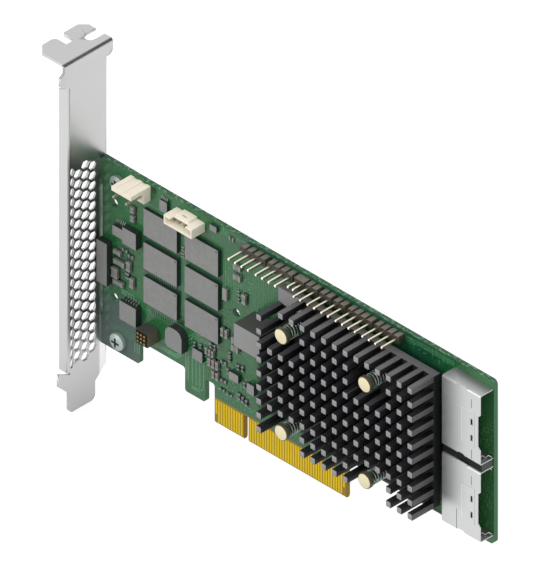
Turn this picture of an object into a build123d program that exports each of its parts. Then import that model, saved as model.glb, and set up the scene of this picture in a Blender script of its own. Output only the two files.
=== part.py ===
from build123d import *

import math
import os

# A raid controller card on a full-height slot bracket, in millimetres.
# +X runs from the bracket to the rear edge, the component side faces -Y and +Z is up.
# The origin is at the edge connector: in the middle of its key notch, on its bottom
# edge, halfway through the board.

# Clearance round a pin, screw or leg in its hole
hole_gap = 0.05

# Flats round a small rod, hole or ring, which keep it plain
small_round_sides = 8
screw_sides = 12
nut_sides = 6
head_sides = 16
spring_sides = 8

# Board outline, measured from the edge at the bracket and from the connector's edge
key_place = 57.6
board_length = 155.6
board_top = 68.9
board_thickness = 1.57
board_corner = 1.5
inner_corner = 0.9
edge_foot = 13.0
rear_foot = 13.2
tab_foot = 5.0
bracket_tab_end = 15.4
guide_tab_start = 33.4
guide_tab_end = 41.45
side_recess = 0.7
side_recess_low = 14.2
side_recess_high = 61.5

# Edge connector
pad_pitch = 1.0
pad_width = 0.7
pad_thickness = 0.06
pad_low = 0.7
pad_top = 8.2
short_pad_low = 3.4
short_pads = 11
long_pads = 38
pad_margin = 0.27
key_width = 1.9
key_top = 8.4
bevel_height = 0.6
bevel_depth = 0.35

# Bracket sheet: heights are from the connector's edge, reaches are out of the board's face
sheet = 0.8
sheet_bend = 0.3
bracket_top = 106.5
bracket_tip = -13.5
fold_reach = 13.0
foot_reach = 16.6
foot_low = -2.4
foot_step = 2.0
far_shoulder = -3.0
tongue_near = 12.7
tongue_far = 2.0
tongue_corner = 2.2
neck_reach = 14.2
neck_low = 103.8
shoulder_reach = 15.8
shoulder_low = 100.0
shoulder_top = 102.6
ear_reach = 5.0
ear_low = 101.5
ear_corner = 2.0
lip_depth = 3.5
lip_low = 0.4
lip_top = 97.3
lip_slope = 0.8
flange_depth = 11.8
flange_near_corner = 2.9
flange_far_corner = 2.2
notch_width = 3.5
notch_depth = 5.7
notch_place = 5.1
side_notch_width = 2.9
side_notch_depth = 4.6
side_notch_reach = 4.85
side_notch_near_round = 1.9
side_notch_far_round = 1.2

# Honeycomb of vents: the column beside the fold has narrower ones
vent_pitch = 3.45
vent_web = 0.75
vent_columns = 4
vent_rows = 20
vent_top = 68.6
vent_reach = 3.1
vent_column_pitch = 2.95
narrow_vent_reach = 11.25
narrow_vent_width = 1.3

# Bracket tabs behind the board, and their screws
tab_length = 12.5
tab_height = 10.6
tab_corner = 1.6
screw_place = 7.3
screw_heights = (9.0, 63.0)
screw_radius = 1.5
screw_head_radius = 2.7
screw_head_height = 1.7
screw_head_slope = 0.6
screw_head_inset = 0.9
screw_recess = 1.1
screw_recess_span = 3.2
screw_recess_width = 0.75
screw_end = 0.5
nut_radius = 2.7
nut_height = 1.2

# Processor stack and heat sink
processor_place = (101.0, 39.15)
substrate_size = 27.0
substrate_height = 1.1
lid_size = 23.0
lid_rim = 1.6
lid_rim_height = 0.7
lid_height = 1.4
thermal_pad_size = 18.0
thermal_pad_height = 0.3
sink_place = (75.4, 19.05)
sink_base = 2.4
fin_columns = 15
fin_rows = 10
bare_fin_columns = 2
bare_fin_rows = 1
fin_pitch_x = 4.27
fin_pitch_y = 4.79
fin_width = 2.0
fin_depth = 2.1
fin_length = 8.7

# Push pins and their springs
pin_spacing = 33.0
pin_shaft = 1.4
pin_head_radius = 2.55
pin_head_height = 1.3
pin_head_round = 0.5
pin_head_drop = 0.6
pin_barb = 1.9
pin_barb_step = 0.6
pin_barb_length = 2.4
pin_tip = 0.8
pin_slot = 0.7
spring_wire = 0.5
spring_radius = 2.05
spring_turns = 4

# Rear sockets: two shielded right-angle sockets whose mouths face the rear edge
socket_start = 140.2
socket_end = 155.3
socket_width = 23.8
socket_middle = 41.375
socket_gap = 2.55
socket_height = 5.2
socket_wall = 0.3
socket_edge = 0.7
mouth_depth = 5.6
mouth_cut = 10.0
mouth_cut_depth = 1.0
mouth_cut_offset = -0.75
latch_slot = 1.0
latch_slot_length = 2.1
latch_slot_offset = -0.4
latch_slot_inset = 3.4
latch_slot_spacing = 5.5
latch_plate = (5.0, 11.8)
latch_plate_rise = 0.12
latch_plate_inset = 2.2
housing_start = 1.2
contact_count = 37
contact_width = 0.3
contact_thickness = 0.2
contact_inset = 0.4
channel_height = 1.7
channel_middle = 2.45
channel_margin = 0.05
channel_side = 0.9
shell_notch_start = 5.8
shell_notch_length = 3.4
shell_notch_cut = 0.8
shell_notch_drop = 1.8
shell_tab_length = 4.0
shell_tab_rise = 0.4
divider_drop = 0.6

# Pin headers along the top edge
header_pitch = 2.54
header_height = 2.54
header_pin = 0.64
header_reach = 8.4
header_tail = 1.3
header_row = 66.65
header_chamfer = 0.45
header_starts = (58.8, 69.5, 84.5, 90.0, 95.5, 101.1, 111.7)
header_counts = (4, 4, 2, 2, 2, 4, 4)
jumper_start = 80.0
jumper_pitch = 2.0
jumper_count = 2
jumper_reach = 6.2

# Plastic headers for cables in the top left corner
fan_place = (12.0, 63.2)
fan_size = (7.85, 4.8)
fan_base = 2.7
fan_wall = 1.2
fan_wall_reach = 7.8
fan_ribs = 3
fan_rib_rise = 0.3
fan_pin_spacing = 5.08
fan_pin_inset = 2.2
fan_pin_reach = 8.6
cable_place = (30.2, 63.3)
cable_size = (11.1, 3.1)
cable_height = 5.3
cable_wall = 0.6
cable_floor = 1.2
cable_cut_width = 6.0
cable_cut_depth = 1.6
cable_catch_width = 5.0
cable_catch_rise = 0.7
cable_catch_height = 3.6
cable_window_width = 1.7
cable_window_height = 0.9
cable_pin_count = 4
cable_pitch = 2.0
cable_pin = 0.5
cable_pin_reach = 4.3

# Memory chips
memory_columns = (18.0, 34.3)
memory_rows = (28.1, 39.65, 51.2)
memory_size = (13.2, 9.15)
memory_height = 1.1

# Round holes in the board for a cache module, and plated holes for pins
module_hole_radius = 1.45
module_holes = ((5.4, 23.0), (5.4, 55.3), (53.7, 41.7))
plated_hole_radius = 0.5

# Other parts of the component side: corner, size and height above the face
buffer_place = (9.6, 18.8)
buffer_size = (6.5, 6.4)
buffer_height = 2.2
buffer_legs = 6
leg_pitch = 1.0
leg_width = 0.45
leg_thickness = 0.2
leg_reach = 1.5
leg_rise = 1.1
leg_shoulder = 0.5
service_place = (18.3, 16.3)
service_size = 4.6
service_height = 4.4
service_wall = 0.4
service_recess = 0.6
service_contacts = 3
service_pitch = 1.27
service_contact = 0.6
service_contact_reach = 4.7
buzzer_place = (28.0, 19.1)
buzzer_size = (6.6, 7.2)
buzzer_height = 2.6
buzzer_round = 2.6
buzzer_chamfer = 1.0
switch_place = (10.8, 45.3)
switch_size = (5.4, 5.6)
switch_tab = (3.9, 3.3)
switch_height = 2.3
choke_place = (61.6, 39.0)
choke_size = (10.2, 7.8)
choke_height = 9.0
choke_foot = 0.6
choke_inset = 0.5
side_memory_place = (0.5, 27.2)
side_memory_size = (4.1, 14.5)
side_memory_height = 2.2
chip_height = 1.0
clock_place = (37.2, 18.5)
clock_size = (4.0, 3.7)
monitor_place = (24.2, 62.7)
monitor_size = (3.0, 3.8)
sensor_place = (44.0, 65.9)
sensor_size = (2.8, 2.0)
crystal_place = (49.0, 44.5)
crystal_size = (1.8, 4.0)
coil_height = 1.3
left_coil_place = (52.0, 19.0)
left_coil_size = (3.7, 2.7)
right_coil_place = (59.0, 17.7)
right_coil_size = (2.9, 3.5)

# Ceramic capacitors and chip resistors: each row has its first corner, its step to the
# next one, how many there are, and the size of one
capacitor_height = 0.9
capacitor_rows = (
    ((5.7, 38.7), (0.0, 0.0), 1, (2.8, 1.4)),
    ((5.8, 35.4), (0.0, 0.0), 1, (4.3, 1.6)),
    ((10.8, 35.2), (1.3, -5.0), 2, (1.6, 3.2)),
    ((4.9, 30.3), (0.0, 0.0), 1, (2.5, 3.4)),
    ((5.6, 28.4), (0.0, 0.0), 1, (3.9, 1.5)),
    ((56.5, 46.8), (0.0, 0.0), 1, (1.6, 3.2)),
    ((12.4, 53.0), (0.0, 3.0), 2, (1.5, 1.9)),
    ((42.0, 22.4), (1.25, 0.0), 3, (0.9, 2.1)),
    ((43.1, 18.9), (1.5, 0.0), 3, (1.1, 2.7)),
    ((44.7, 15.4), (1.5, 0.0), 2, (1.0, 2.5)),
    ((48.2, 31.6), (1.6, 0.0), 2, (1.1, 2.8)),
    ((52.5, 28.7), (0.0, 2.6), 2, (2.6, 2.1)),
    ((53.2, 57.0), (0.0, -3.4), 2, (2.8, 1.8)),
)
resistor_height = 0.5
resistor_rows = (
    ((9.0, 41.0), (2.3, -1.0), 2, (1.9, 0.9)),
    ((10.1, 32.2), (0.0, 0.0), 1, (1.5, 1.8)),
    ((54.3, 22.9), (1.7, 0.3), 2, (0.9, 1.6)),
    ((50.3, 19.7), (6.6, -1.5), 2, (0.8, 1.6)),
    ((54.5, 48.7), (0.0, -2.6), 2, (0.9, 1.3)),
    ((43.5, 26.1), (0.0, -1.2), 2, (2.2, 0.6)),
    ((39.5, 22.9), (-2.4, -0.4), 2, (0.8, 1.3)),
    ((47.9, 22.0), (0.0, -6.4), 2, (2.0, 1.0)),
    ((50.9, 25.9), (0.0, -1.9), 2, (0.9, 1.5)),
    ((54.7, 12.9), (1.4, -0.4), 3, (0.9, 2.0)),
    ((47.4, 12.6), (2.9, -0.3), 2, (2.0, 0.7)),
    ((32.4, 50.6), (0.0, 2.2), 2, (1.1, 1.4)),
    ((51.2, 65.7), (0.0, 0.0), 1, (1.7, 1.3)),
)

# Decoupling capacitors behind the processor, on the solder side
decoupling_column_count = 6
decoupling_row_count = 4
decoupling_pitch_x = 3.6
decoupling_pitch_y = 4.2
decoupling_size = (1.6, 0.8)
decoupling_height = 0.7

# Places that follow from the sizes above
bend = sheet + sheet_bend
bracket_far = board_thickness + sheet
finger_start = key_place - key_width / 2 - short_pads * pad_pitch - 2 * pad_margin
finger_end = key_place + key_width / 2 + long_pads * pad_pitch + 2 * pad_margin
sink_lift = substrate_height + lid_height + thermal_pad_height
sink_front = sink_lift + sink_base
fin_tip = sink_front + fin_length
sink_width = (fin_columns - 1) * fin_pitch_x + fin_width
sink_height = (fin_rows - 1) * fin_pitch_y + fin_depth
pin_head_front = fin_tip - pin_head_drop
pin_head_back = pin_head_front - pin_head_height
socket_inside = socket_height - socket_wall
lower_socket_low = socket_middle - socket_gap / 2 - socket_width
socket_heights = (lower_socket_low, socket_middle + socket_gap / 2)
channel_width = socket_width - 2 * channel_side
contact_pitch = (channel_width - 2 * channel_margin - contact_width) / (contact_count - 1)
push_pin_places = [
    (processor_place[0] + side * pin_spacing / 2, processor_place[1] + level * pin_spacing / 2)
    for side in (-1, 1)
    for level in (-1, 1)
]
fan_pins = [
    (fan_place[0] + fan_size[0] / 2 + side * fan_pin_spacing / 2, fan_place[1] + fan_pin_inset)
    for side in (-1, 1)
]
cable_pins = [
    (
        cable_place[0] + cable_size[0] / 2 + (index - (cable_pin_count - 1) / 2) * cable_pitch,
        cable_place[1] + cable_size[1] / 2,
    )
    for index in range(cable_pin_count)
]
header_rows = [
    [(start + index * header_pitch, header_row) for index in range(count)]
    for start, count in zip(header_starts, header_counts)
]
jumper_pins = [(jumper_start + index * jumper_pitch, header_row) for index in range(jumper_count)]

# The plan of the component side: x from the bracket, y up the board, z out of its face
component_side = Plane(
    origin=(-key_place, -board_thickness / 2, 0), x_dir=(1, 0, 0), z_dir=(0, -1, 0)
)


def plan_box(corner, size, low, high):
    """A block on the plan, from its corner and size, between two heights."""
    middle = (corner[0] + size[0] / 2, corner[1] + size[1] / 2, (low + high) / 2)
    return Pos(*middle) * Box(size[0], size[1], high - low)


def plan_post(place, width, low, high):
    """A square post centred on a place of the plan."""
    return plan_box((place[0] - width / 2, place[1] - width / 2), (width, width), low, high)


def plan_rod(place, radius, low, high):
    """A round rod centred on a place of the plan."""
    return Pos(place[0], place[1], (low + high) / 2) * Cylinder(radius, high - low)


def plan_shape(outline, low, high):
    """An outline on the plan, raised between two heights."""
    return Pos(0, 0, low) * extrude(outline, high - low)


def plan_prism(place, radius, sides, low, high):
    """A flat-sided rod centred on a place of the plan, as wide as its radius at its corners."""
    return plan_shape(Pos(*place) * RegularPolygon(radius, sides), low, high)


def plan_taper(place, sides, ends):
    """A flat-sided taper centred on a place of the plan, with a radius and height for each end."""
    return loft([Pos(*place, height) * RegularPolygon(radius, sides) for radius, height in ends])


def closed_outline(points):
    """A flat face inside a closed run of straight edges."""
    return make_face(Polyline(*points, close=True))


def round_corners(outline, places, radius):
    """Round an outline's corners at the given places."""
    corners = [
        vertex
        for vertex in outline.vertices()
        if any(math.dist((vertex.X, vertex.Y), place) < 1e-4 for place in places)
    ]
    return fillet(corners, radius)


def board_outline():
    """The card's outline, with its tabs, key notch and shallow recess beside the bracket."""
    slot_corners = [
        (bracket_tab_end, edge_foot),
        (guide_tab_start, edge_foot),
        (guide_tab_end, edge_foot),
        (finger_start, edge_foot),
    ]
    tab_corners = [(bracket_tab_end, tab_foot), (guide_tab_start, tab_foot), (guide_tab_end, tab_foot)]
    rear_corners = [(board_length, rear_foot), (board_length, board_top), (0, board_top)]
    outline = closed_outline([
        (0, tab_foot),
        tab_corners[0],
        slot_corners[0],
        slot_corners[1],
        tab_corners[1],
        tab_corners[2],
        slot_corners[2],
        slot_corners[3],
        (finger_start, 0),
        (key_place - key_width / 2, 0),
        (key_place - key_width / 2, key_top),
        (key_place + key_width / 2, key_top),
        (key_place + key_width / 2, 0),
        (finger_end, 0),
        (finger_end, rear_foot),
        *rear_corners,
        (0, side_recess_high),
        (side_recess, side_recess_high),
        (side_recess, side_recess_low),
        (0, side_recess_low),
    ])
    outline = round_corners(outline, slot_corners + tab_corners, inner_corner)
    return round_corners(outline, rear_corners, board_corner)


def finger_bevels():
    """Two long wedges that bevel both faces of the edge connector."""
    wedges = []
    for face, inward in ((0, -1), (-board_thickness, 1)):
        section = closed_outline([(0, face), (bevel_height, face), (0, face + inward * bevel_depth)])
        wedge = extrude(Plane.YZ * section, finger_end - finger_start)
        wedges.append(Pos(finger_start, 0, 0) * wedge)
    return wedges


def board():
    """The printed circuit board with its screw, push pin, module and pin holes."""
    card = plan_shape(board_outline(), -board_thickness, 0)
    holes = [((screw_place, level), screw_radius + 2 * hole_gap) for level in screw_heights]
    holes += [(place, module_hole_radius) for place in module_holes]
    plated = [place for row in header_rows for place in row] + jumper_pins + fan_pins + cable_pins
    flat_holes = [(place, plated_hole_radius) for place in plated]
    flat_holes += [(place, pin_shaft + hole_gap) for place in push_pin_places]
    drills = [plan_rod(place, radius, -board_thickness, 0) for place, radius in holes]
    drills += [
        plan_prism(place, radius, small_round_sides, -board_thickness, 0)
        for place, radius in flat_holes
    ]
    return card - (drills + finger_bevels())


def edge_pads(low, high):
    """The gold pads of one face, each a thin separate strip. The end ones are short."""
    before_key = key_place - key_width / 2 - pad_margin
    after_key = key_place + key_width / 2 + pad_margin
    centres = [before_key - pad_pitch * (index + 0.5) for index in reversed(range(short_pads))]
    centres += [after_key + pad_pitch * (index + 0.5) for index in range(long_pads)]
    pads = []
    for centre in centres:
        foot = short_pad_low if centre in (centres[0], centres[-1]) else pad_low
        corner = (centre - pad_width / 2, foot)
        pads.append(plan_box(corner, (pad_width, pad_top - foot), low, high))
    return pads


def fold_section(edge, depth):
    """A bent edge of the sheet: a round bend up to the edge, then a leg outwards."""
    start = edge - bend
    return make_face([
        Line((-sheet, start), (0, start)),
        CenterArc((-bend, start), bend, 0, 90),
        Line((-bend, edge), (-depth, edge)),
        Line((-depth, edge), (-depth, edge - sheet)),
        Line((-depth, edge - sheet), (-bend, edge - sheet)),
        CenterArc((-bend, start), sheet_bend, 90, -90),
    ])


def bracket_blade():
    """The flat blade, from its tongue and stepped foot to the neck under the top bend."""
    fold_start = fold_reach - bend
    blade_top = bracket_top - bend
    tongue_corners = [(bracket_tip, tongue_near), (bracket_tip, tongue_far)]
    ear = (ear_low, -ear_reach)
    outline = closed_outline([
        tongue_corners[0],
        (foot_low - foot_reach + tongue_near, tongue_near),
        (foot_low, foot_reach),
        (foot_step, foot_reach),
        (foot_step - (foot_reach - fold_start) / 2, fold_start),
        (lip_top, fold_start),
        (shoulder_low, shoulder_reach),
        (shoulder_top, shoulder_reach),
        (neck_low, neck_reach),
        (blade_top, neck_reach),
        (blade_top, -ear_reach),
        ear,
        (ear_low, -bracket_far),
        (far_shoulder, -bracket_far),
        (far_shoulder - bracket_far - tongue_far, tongue_far),
        tongue_corners[1],
    ])
    outline = round_corners(outline, tongue_corners, tongue_corner)
    outline = round_corners(outline, [ear], ear_corner)
    return Pos(-sheet, 0, 0) * extrude(Plane.YZ * outline, sheet)


def bracket_lip():
    """The stiffening lip, folded outwards along the blade's near edge, with a sloped top."""
    section = Plane.XZ * fold_section(fold_reach, lip_depth)
    lip = Pos(0, lip_top, 0) * extrude(section, lip_top - lip_low)
    slope = closed_outline([(-sheet, lip_top), (-lip_depth, lip_top - lip_slope), (-lip_depth, lip_top)])
    return lip - plan_shape(slope, fold_reach - bend, fold_reach)


def bracket_flange():
    """The top flange with an open screw notch and a side notch."""
    strip = plan_shape(fold_section(bracket_top, flange_depth), -ear_reach, neck_reach)
    near = neck_reach - flange_near_corner
    far = -ear_reach + flange_far_corner
    outline = closed_outline([
        (0, neck_reach),
        (-flange_depth + flange_near_corner, neck_reach),
        (-flange_depth, near),
        (-flange_depth, far),
        (-flange_depth + flange_far_corner, -ear_reach),
        (0, -ear_reach),
    ])
    notch_round = notch_width / 2
    straight = notch_depth - notch_round
    outline -= Pos(-notch_place, -ear_reach + straight / 2) * Rectangle(notch_width, straight)
    outline -= Pos(-notch_place, -ear_reach + straight) * Circle(notch_round)
    side_notch = Rectangle(2 * side_notch_depth, side_notch_width)
    outline -= Pos(-flange_depth, side_notch_reach) * side_notch
    mouth_near = (-flange_depth, side_notch_reach + side_notch_width / 2)
    mouth_far = (-flange_depth, side_notch_reach - side_notch_width / 2)
    outline = round_corners(outline, [mouth_near], side_notch_near_round)
    outline = round_corners(outline, [mouth_far], side_notch_far_round)
    punch = Pos(0, bracket_top, 0) * extrude(Plane.XZ * outline, bend)
    return strip & punch


def vent_punches():
    """Six-sided punches in a honeycomb. Every other column starts half a pitch lower."""
    side_to_side = vent_pitch - vent_web
    vent = RegularPolygon(side_to_side / 2, 6, major_radius=False, rotation=30)
    narrow = scale(vent, by=(1, narrow_vent_width / side_to_side, 1))
    punches = []
    for column in range(vent_columns):
        last = column == vent_columns - 1
        reach = narrow_vent_reach if last else vent_reach + column * vent_column_pitch
        outer = column % 2 == 1
        top = vent_top if outer else vent_top - vent_pitch / 2
        for row in range(vent_rows if outer else vent_rows - 1):
            hole = Pos(top - row * vent_pitch, reach) * (narrow if last else vent)
            punches.append(Pos(-sheet, 0, 0) * extrude(Plane.YZ * hole, sheet))
    return punches


def bracket_tab(level):
    """A tab behind the board, with a six-sided nut pressed into it for a screw."""
    corner = (-sheet, level - tab_height / 2)
    tab = plan_box(corner, (sheet + tab_length, tab_height), -bracket_far, -board_thickness)
    free_corners = tab.edges().filter_by(Axis.Z).group_by(Axis.X)[-1]
    nut_back = -bracket_far - nut_height
    tab = fillet(free_corners, tab_corner)
    tab += plan_prism((screw_place, level), nut_radius, nut_sides, nut_back, -bracket_far)
    thread = plan_prism(
        (screw_place, level), screw_radius + hole_gap, screw_sides, nut_back, -board_thickness
    )
    return tab - thread


def bracket():
    """The folded sheet bracket, in one piece."""
    blade = bracket_blade() - vent_punches()
    return blade + [bracket_lip(), bracket_flange()] + [bracket_tab(level) for level in screw_heights]


def screw(level):
    """A pan-head screw with a cross recess, through the board into the bracket's tab."""
    place = (screw_place, level)
    rim = screw_head_height - screw_head_slope
    head_top = screw_head_radius - screw_head_inset
    head = plan_prism(place, screw_head_radius, head_sides, 0, rim)
    head += plan_taper(place, head_sides, ((screw_head_radius, rim), (head_top, screw_head_height)))
    recess_low = screw_head_height - screw_recess
    for span in ((screw_recess_span, screw_recess_width), (screw_recess_width, screw_recess_span)):
        corner = (place[0] - span[0] / 2, place[1] - span[1] / 2)
        head -= plan_box(corner, span, recess_low, screw_head_height)
    return head + plan_prism(place, screw_radius, screw_sides, -bracket_far - nut_height - screw_end, 0)


def pin_pocket(place):
    """The heat sink's pocket at a push pin, three fins wide and two high."""
    column = round((place[0] - sink_place[0] - fin_width / 2) / fin_pitch_x)
    row = math.floor((place[1] - sink_place[1] - fin_depth / 2) / fin_pitch_y)
    side_gap = fin_pitch_x - fin_width
    level_gap = fin_pitch_y - fin_depth
    corner = (
        sink_place[0] + (column - 1) * fin_pitch_x - side_gap,
        sink_place[1] + row * fin_pitch_y - level_gap,
    )
    size = (3 * fin_pitch_x + side_gap, 2 * fin_pitch_y + level_gap)
    return plan_box(corner, size, sink_front, fin_tip)


def heat_sink():
    """The pin-fin heat sink: a block cut crosswise by channels, with pockets and a bare corner."""
    block = plan_box(sink_place, (sink_width, sink_height), sink_lift, fin_tip)
    cuts = []
    for column in range(fin_columns - 1):
        corner = (sink_place[0] + column * fin_pitch_x + fin_width, sink_place[1])
        cuts.append(plan_box(corner, (fin_pitch_x - fin_width, sink_height), sink_front, fin_tip))
    for row in range(fin_rows - 1):
        corner = (sink_place[0], sink_place[1] + row * fin_pitch_y + fin_depth)
        cuts.append(plan_box(corner, (sink_width, fin_pitch_y - fin_depth), sink_front, fin_tip))
    bare_size = (bare_fin_columns * fin_pitch_x, bare_fin_rows * fin_pitch_y)
    bare_corner = (sink_place[0], sink_place[1] + sink_height - bare_size[1])
    cuts.append(plan_box(bare_corner, bare_size, sink_front, fin_tip))
    for place in push_pin_places:
        cuts.append(pin_pocket(place))
        hole = plan_prism(place, pin_shaft + hole_gap, small_round_sides, sink_lift, sink_front)
        cuts.append(hole)
    return block - cuts


def push_pin(place):
    """A push pin: a round head, a shaft through heat sink and board, and a split barb."""
    back = -board_thickness - hole_gap
    wide_end = back - pin_barb_step
    barb_end = back - pin_barb_length
    rim = pin_head_front - pin_head_round
    head_top = pin_head_radius - pin_head_round
    head = plan_prism(place, pin_head_radius, head_sides, pin_head_back, rim)
    head += plan_taper(place, head_sides, ((pin_head_radius, rim), (head_top, pin_head_front)))
    shaft = plan_prism(place, pin_shaft, small_round_sides, back, pin_head_back)
    wide = plan_prism(place, pin_barb, small_round_sides, wide_end, back)
    barb = plan_taper(place, small_round_sides, ((pin_tip, barb_end), (pin_barb, wide_end)))
    slot_corner = (place[0] - pin_barb, place[1] - pin_slot / 2)
    slot = plan_box(slot_corner, (2 * pin_barb, pin_slot), barb_end, back)
    return head + shaft + wide + barb - slot


def pin_spring(place):
    """The coil spring between the heat sink's base and a push pin's head."""
    rise = pin_head_back - sink_front - spring_wire - 2 * hole_gap
    steps = spring_turns * spring_sides
    corner_radius = spring_radius / math.cos(math.pi / spring_sides)
    points = [
        (
            corner_radius * math.cos(2 * math.pi * step / spring_sides),
            corner_radius * math.sin(2 * math.pi * step / spring_sides),
            rise * step / steps,
        )
        for step in range(steps + 1)
    ]
    path = Polyline(*points)
    section = Plane(origin=path @ 0, z_dir=path % 0) * Rectangle(spring_wire, spring_wire)
    coil = sweep(section, path=path, transition=Transition.RIGHT)
    return Pos(*place, sink_front + spring_wire / 2) * coil


def processor_lid():
    """The processor's stepped metal lid."""
    rim_top = substrate_height + lid_rim_height
    rim = plan_post(processor_place, lid_size, substrate_height, rim_top)
    return rim + plan_post(processor_place, lid_size - 2 * lid_rim, rim_top, substrate_height + lid_height)


def socket_block(level, inset, low, high):
    """A socket's long block with its outer edges rounded, inset on three sides."""
    corner = (socket_start + inset, level + inset)
    size = (socket_end - socket_start - inset, socket_width - 2 * inset)
    block = plan_box(corner, size, low, high)
    return fillet(block.edges().filter_by(Axis.X).group_by(Axis.Z)[-1], socket_edge - inset)


def socket_shell(level):
    """The shield: open at its mouth and towards the board, with a cut edge and latch slots."""
    middle = level + socket_width / 2 + mouth_cut_offset
    shell = socket_block(level, 0, 0, socket_height)
    plate_corner = (socket_end - latch_plate_inset - latch_plate[0], middle - latch_plate[1] / 2)
    shell += plan_box(plate_corner, latch_plate, socket_height, socket_height + latch_plate_rise)
    tab_corner = (socket_start + shell_notch_start, level + socket_width - socket_edge)
    tab_size = (shell_tab_length, socket_edge + shell_tab_rise)
    shell += plan_box(tab_corner, tab_size, socket_inside, socket_height)
    shell -= socket_block(level, socket_wall, 0, socket_inside)
    mouth = [
        (socket_end, middle - mouth_cut / 2 - mouth_cut_depth),
        (socket_end - mouth_cut_depth, middle - mouth_cut / 2),
        (socket_end - mouth_cut_depth, middle + mouth_cut / 2),
        (socket_end, middle + mouth_cut / 2 + mouth_cut_depth),
    ]
    shell -= plan_shape(closed_outline(mouth), socket_inside, socket_height)
    notch = [
        (socket_start + shell_notch_start, level),
        (socket_start + shell_notch_start + shell_notch_cut, level + shell_notch_cut),
        (socket_start + shell_notch_start + shell_notch_length - shell_notch_cut, level + shell_notch_cut),
        (socket_start + shell_notch_start + shell_notch_length, level),
    ]
    shell -= plan_shape(closed_outline(notch), socket_height - shell_notch_drop, socket_height)
    for side in (-1, 1):
        centre = middle + latch_slot_offset + side * latch_slot_spacing / 2
        corner = (socket_end - latch_slot_inset - latch_slot / 2, centre - latch_slot_length / 2)
        slot_top = socket_height + latch_plate_rise
        shell -= plan_box(corner, (latch_slot, latch_slot_length), socket_inside, slot_top)
    return shell


def socket_housing(level):
    """The insulator inside the shield, with the channel that takes the plug's card."""
    start = socket_start + housing_start
    length = socket_end - mouth_depth - start
    block = socket_block(level, socket_wall, 0, socket_inside)
    block &= plan_box((start, level), (length, socket_width), 0, socket_inside)
    corner = (start, level + (socket_width - channel_width) / 2)
    low = channel_middle - channel_height / 2
    return block - plan_box(corner, (length, channel_width), low, low + channel_height)


def socket_contacts(level):
    """Two rows of contacts, along the near and far faces of the housing's channel."""
    start = socket_start + housing_start
    length = socket_end - mouth_depth - contact_inset - start
    first = level + (socket_width - channel_width) / 2 + channel_margin
    low_face = channel_middle - channel_height / 2
    high_face = channel_middle + channel_height / 2
    contacts = []
    for index in range(contact_count):
        corner = (start, first + index * contact_pitch)
        size = (length, contact_width)
        contacts.append(plan_box(corner, size, low_face, low_face + contact_thickness))
        contacts.append(plan_box(corner, size, high_face - contact_thickness, high_face))
    return contacts


def socket_divider():
    """The black strip that fills the gap between the two sockets."""
    height = socket_gap - 2 * hole_gap
    size = (socket_end - socket_start, height)
    return plan_box((socket_start, socket_middle - height / 2), size, 0, socket_height - divider_drop)


def header_body(row):
    """A pin header's block, notched between its pins, with square pin holes."""
    half = header_pitch / 2
    flat = half - header_chamfer
    lower = [(row[0][0] - half, header_row - flat)]
    for x, y in row:
        lower += [(x - flat, y - half), (x + flat, y - half), (x + half, y - flat)]
    upper = [(x, 2 * header_row - y) for x, y in reversed(lower)]
    block = plan_shape(closed_outline(lower + upper), 0, header_height)
    return block - [plan_post(place, header_pin, 0, header_height) for place in row]


def jumper_body():
    """The plain block of the short two-pin header."""
    low = (jumper_pins[0][0] - jumper_pitch / 2, header_row - header_pitch / 2)
    block = plan_box(low, (jumper_count * jumper_pitch, header_pitch), 0, header_height)
    return block - [plan_post(place, header_pin, 0, header_height) for place in jumper_pins]


def header_posts():
    """The square pins of every header, through the board."""
    tail = -board_thickness - header_tail
    posts = [plan_post(place, header_pin, tail, header_reach) for row in header_rows for place in row]
    return posts + [plan_post(place, header_pin, tail, jumper_reach) for place in jumper_pins]


def fan_header():
    """The fan header: a base with a tall ribbed wall behind its pins."""
    wall_low = fan_place[1] + fan_size[1] - fan_wall
    base = plan_box(fan_place, fan_size, 0, fan_base)
    base += plan_box((fan_place[0], wall_low), (fan_size[0], fan_wall), 0, fan_wall_reach)
    rib = fan_size[0] / (2 * fan_ribs - 1)
    for index in range(fan_ribs):
        corner = (fan_place[0] + 2 * index * rib, wall_low + fan_wall)
        base += plan_box(corner, (rib, fan_rib_rise), 0, fan_wall_reach)
    return base - [plan_post(place, header_pin, 0, fan_base) for place in fan_pins]


def cable_header():
    """The shrouded cable header, with a cut wall, a catch and a window for the plug."""
    middle = cable_place[0] + cable_size[0] / 2
    top = cable_place[1] + cable_size[1]
    shroud = plan_box(cable_place, cable_size, 0, cable_height)
    catch_corner = (middle - cable_catch_width / 2, top)
    shroud += plan_box(catch_corner, (cable_catch_width, cable_catch_rise), 0, cable_catch_height)
    inside = (cable_size[0] - 2 * cable_wall, cable_size[1] - 2 * cable_wall)
    cavity_corner = (cable_place[0] + cable_wall, cable_place[1] + cable_wall)
    shroud -= plan_box(cavity_corner, inside, cable_floor, cable_height)
    cut_corner = (middle - cable_cut_width / 2, top - cable_wall)
    cut_low = cable_height - cable_cut_depth
    shroud -= plan_box(cut_corner, (cable_cut_width, cable_wall), cut_low, cable_height)
    window_corner = (middle - cable_window_width / 2, top - cable_wall)
    window_size = (cable_window_width, cable_wall + cable_catch_rise)
    window_low = cable_catch_height / 2
    shroud -= plan_box(window_corner, window_size, window_low, window_low + cable_window_height)
    return shroud - [plan_post(place, cable_pin, 0, cable_floor) for place in cable_pins]


def tail_posts(places, width, reach):
    """Square pins through the board, with tails on the solder side."""
    return [plan_post(place, width, -board_thickness - header_tail, reach) for place in places]


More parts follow.
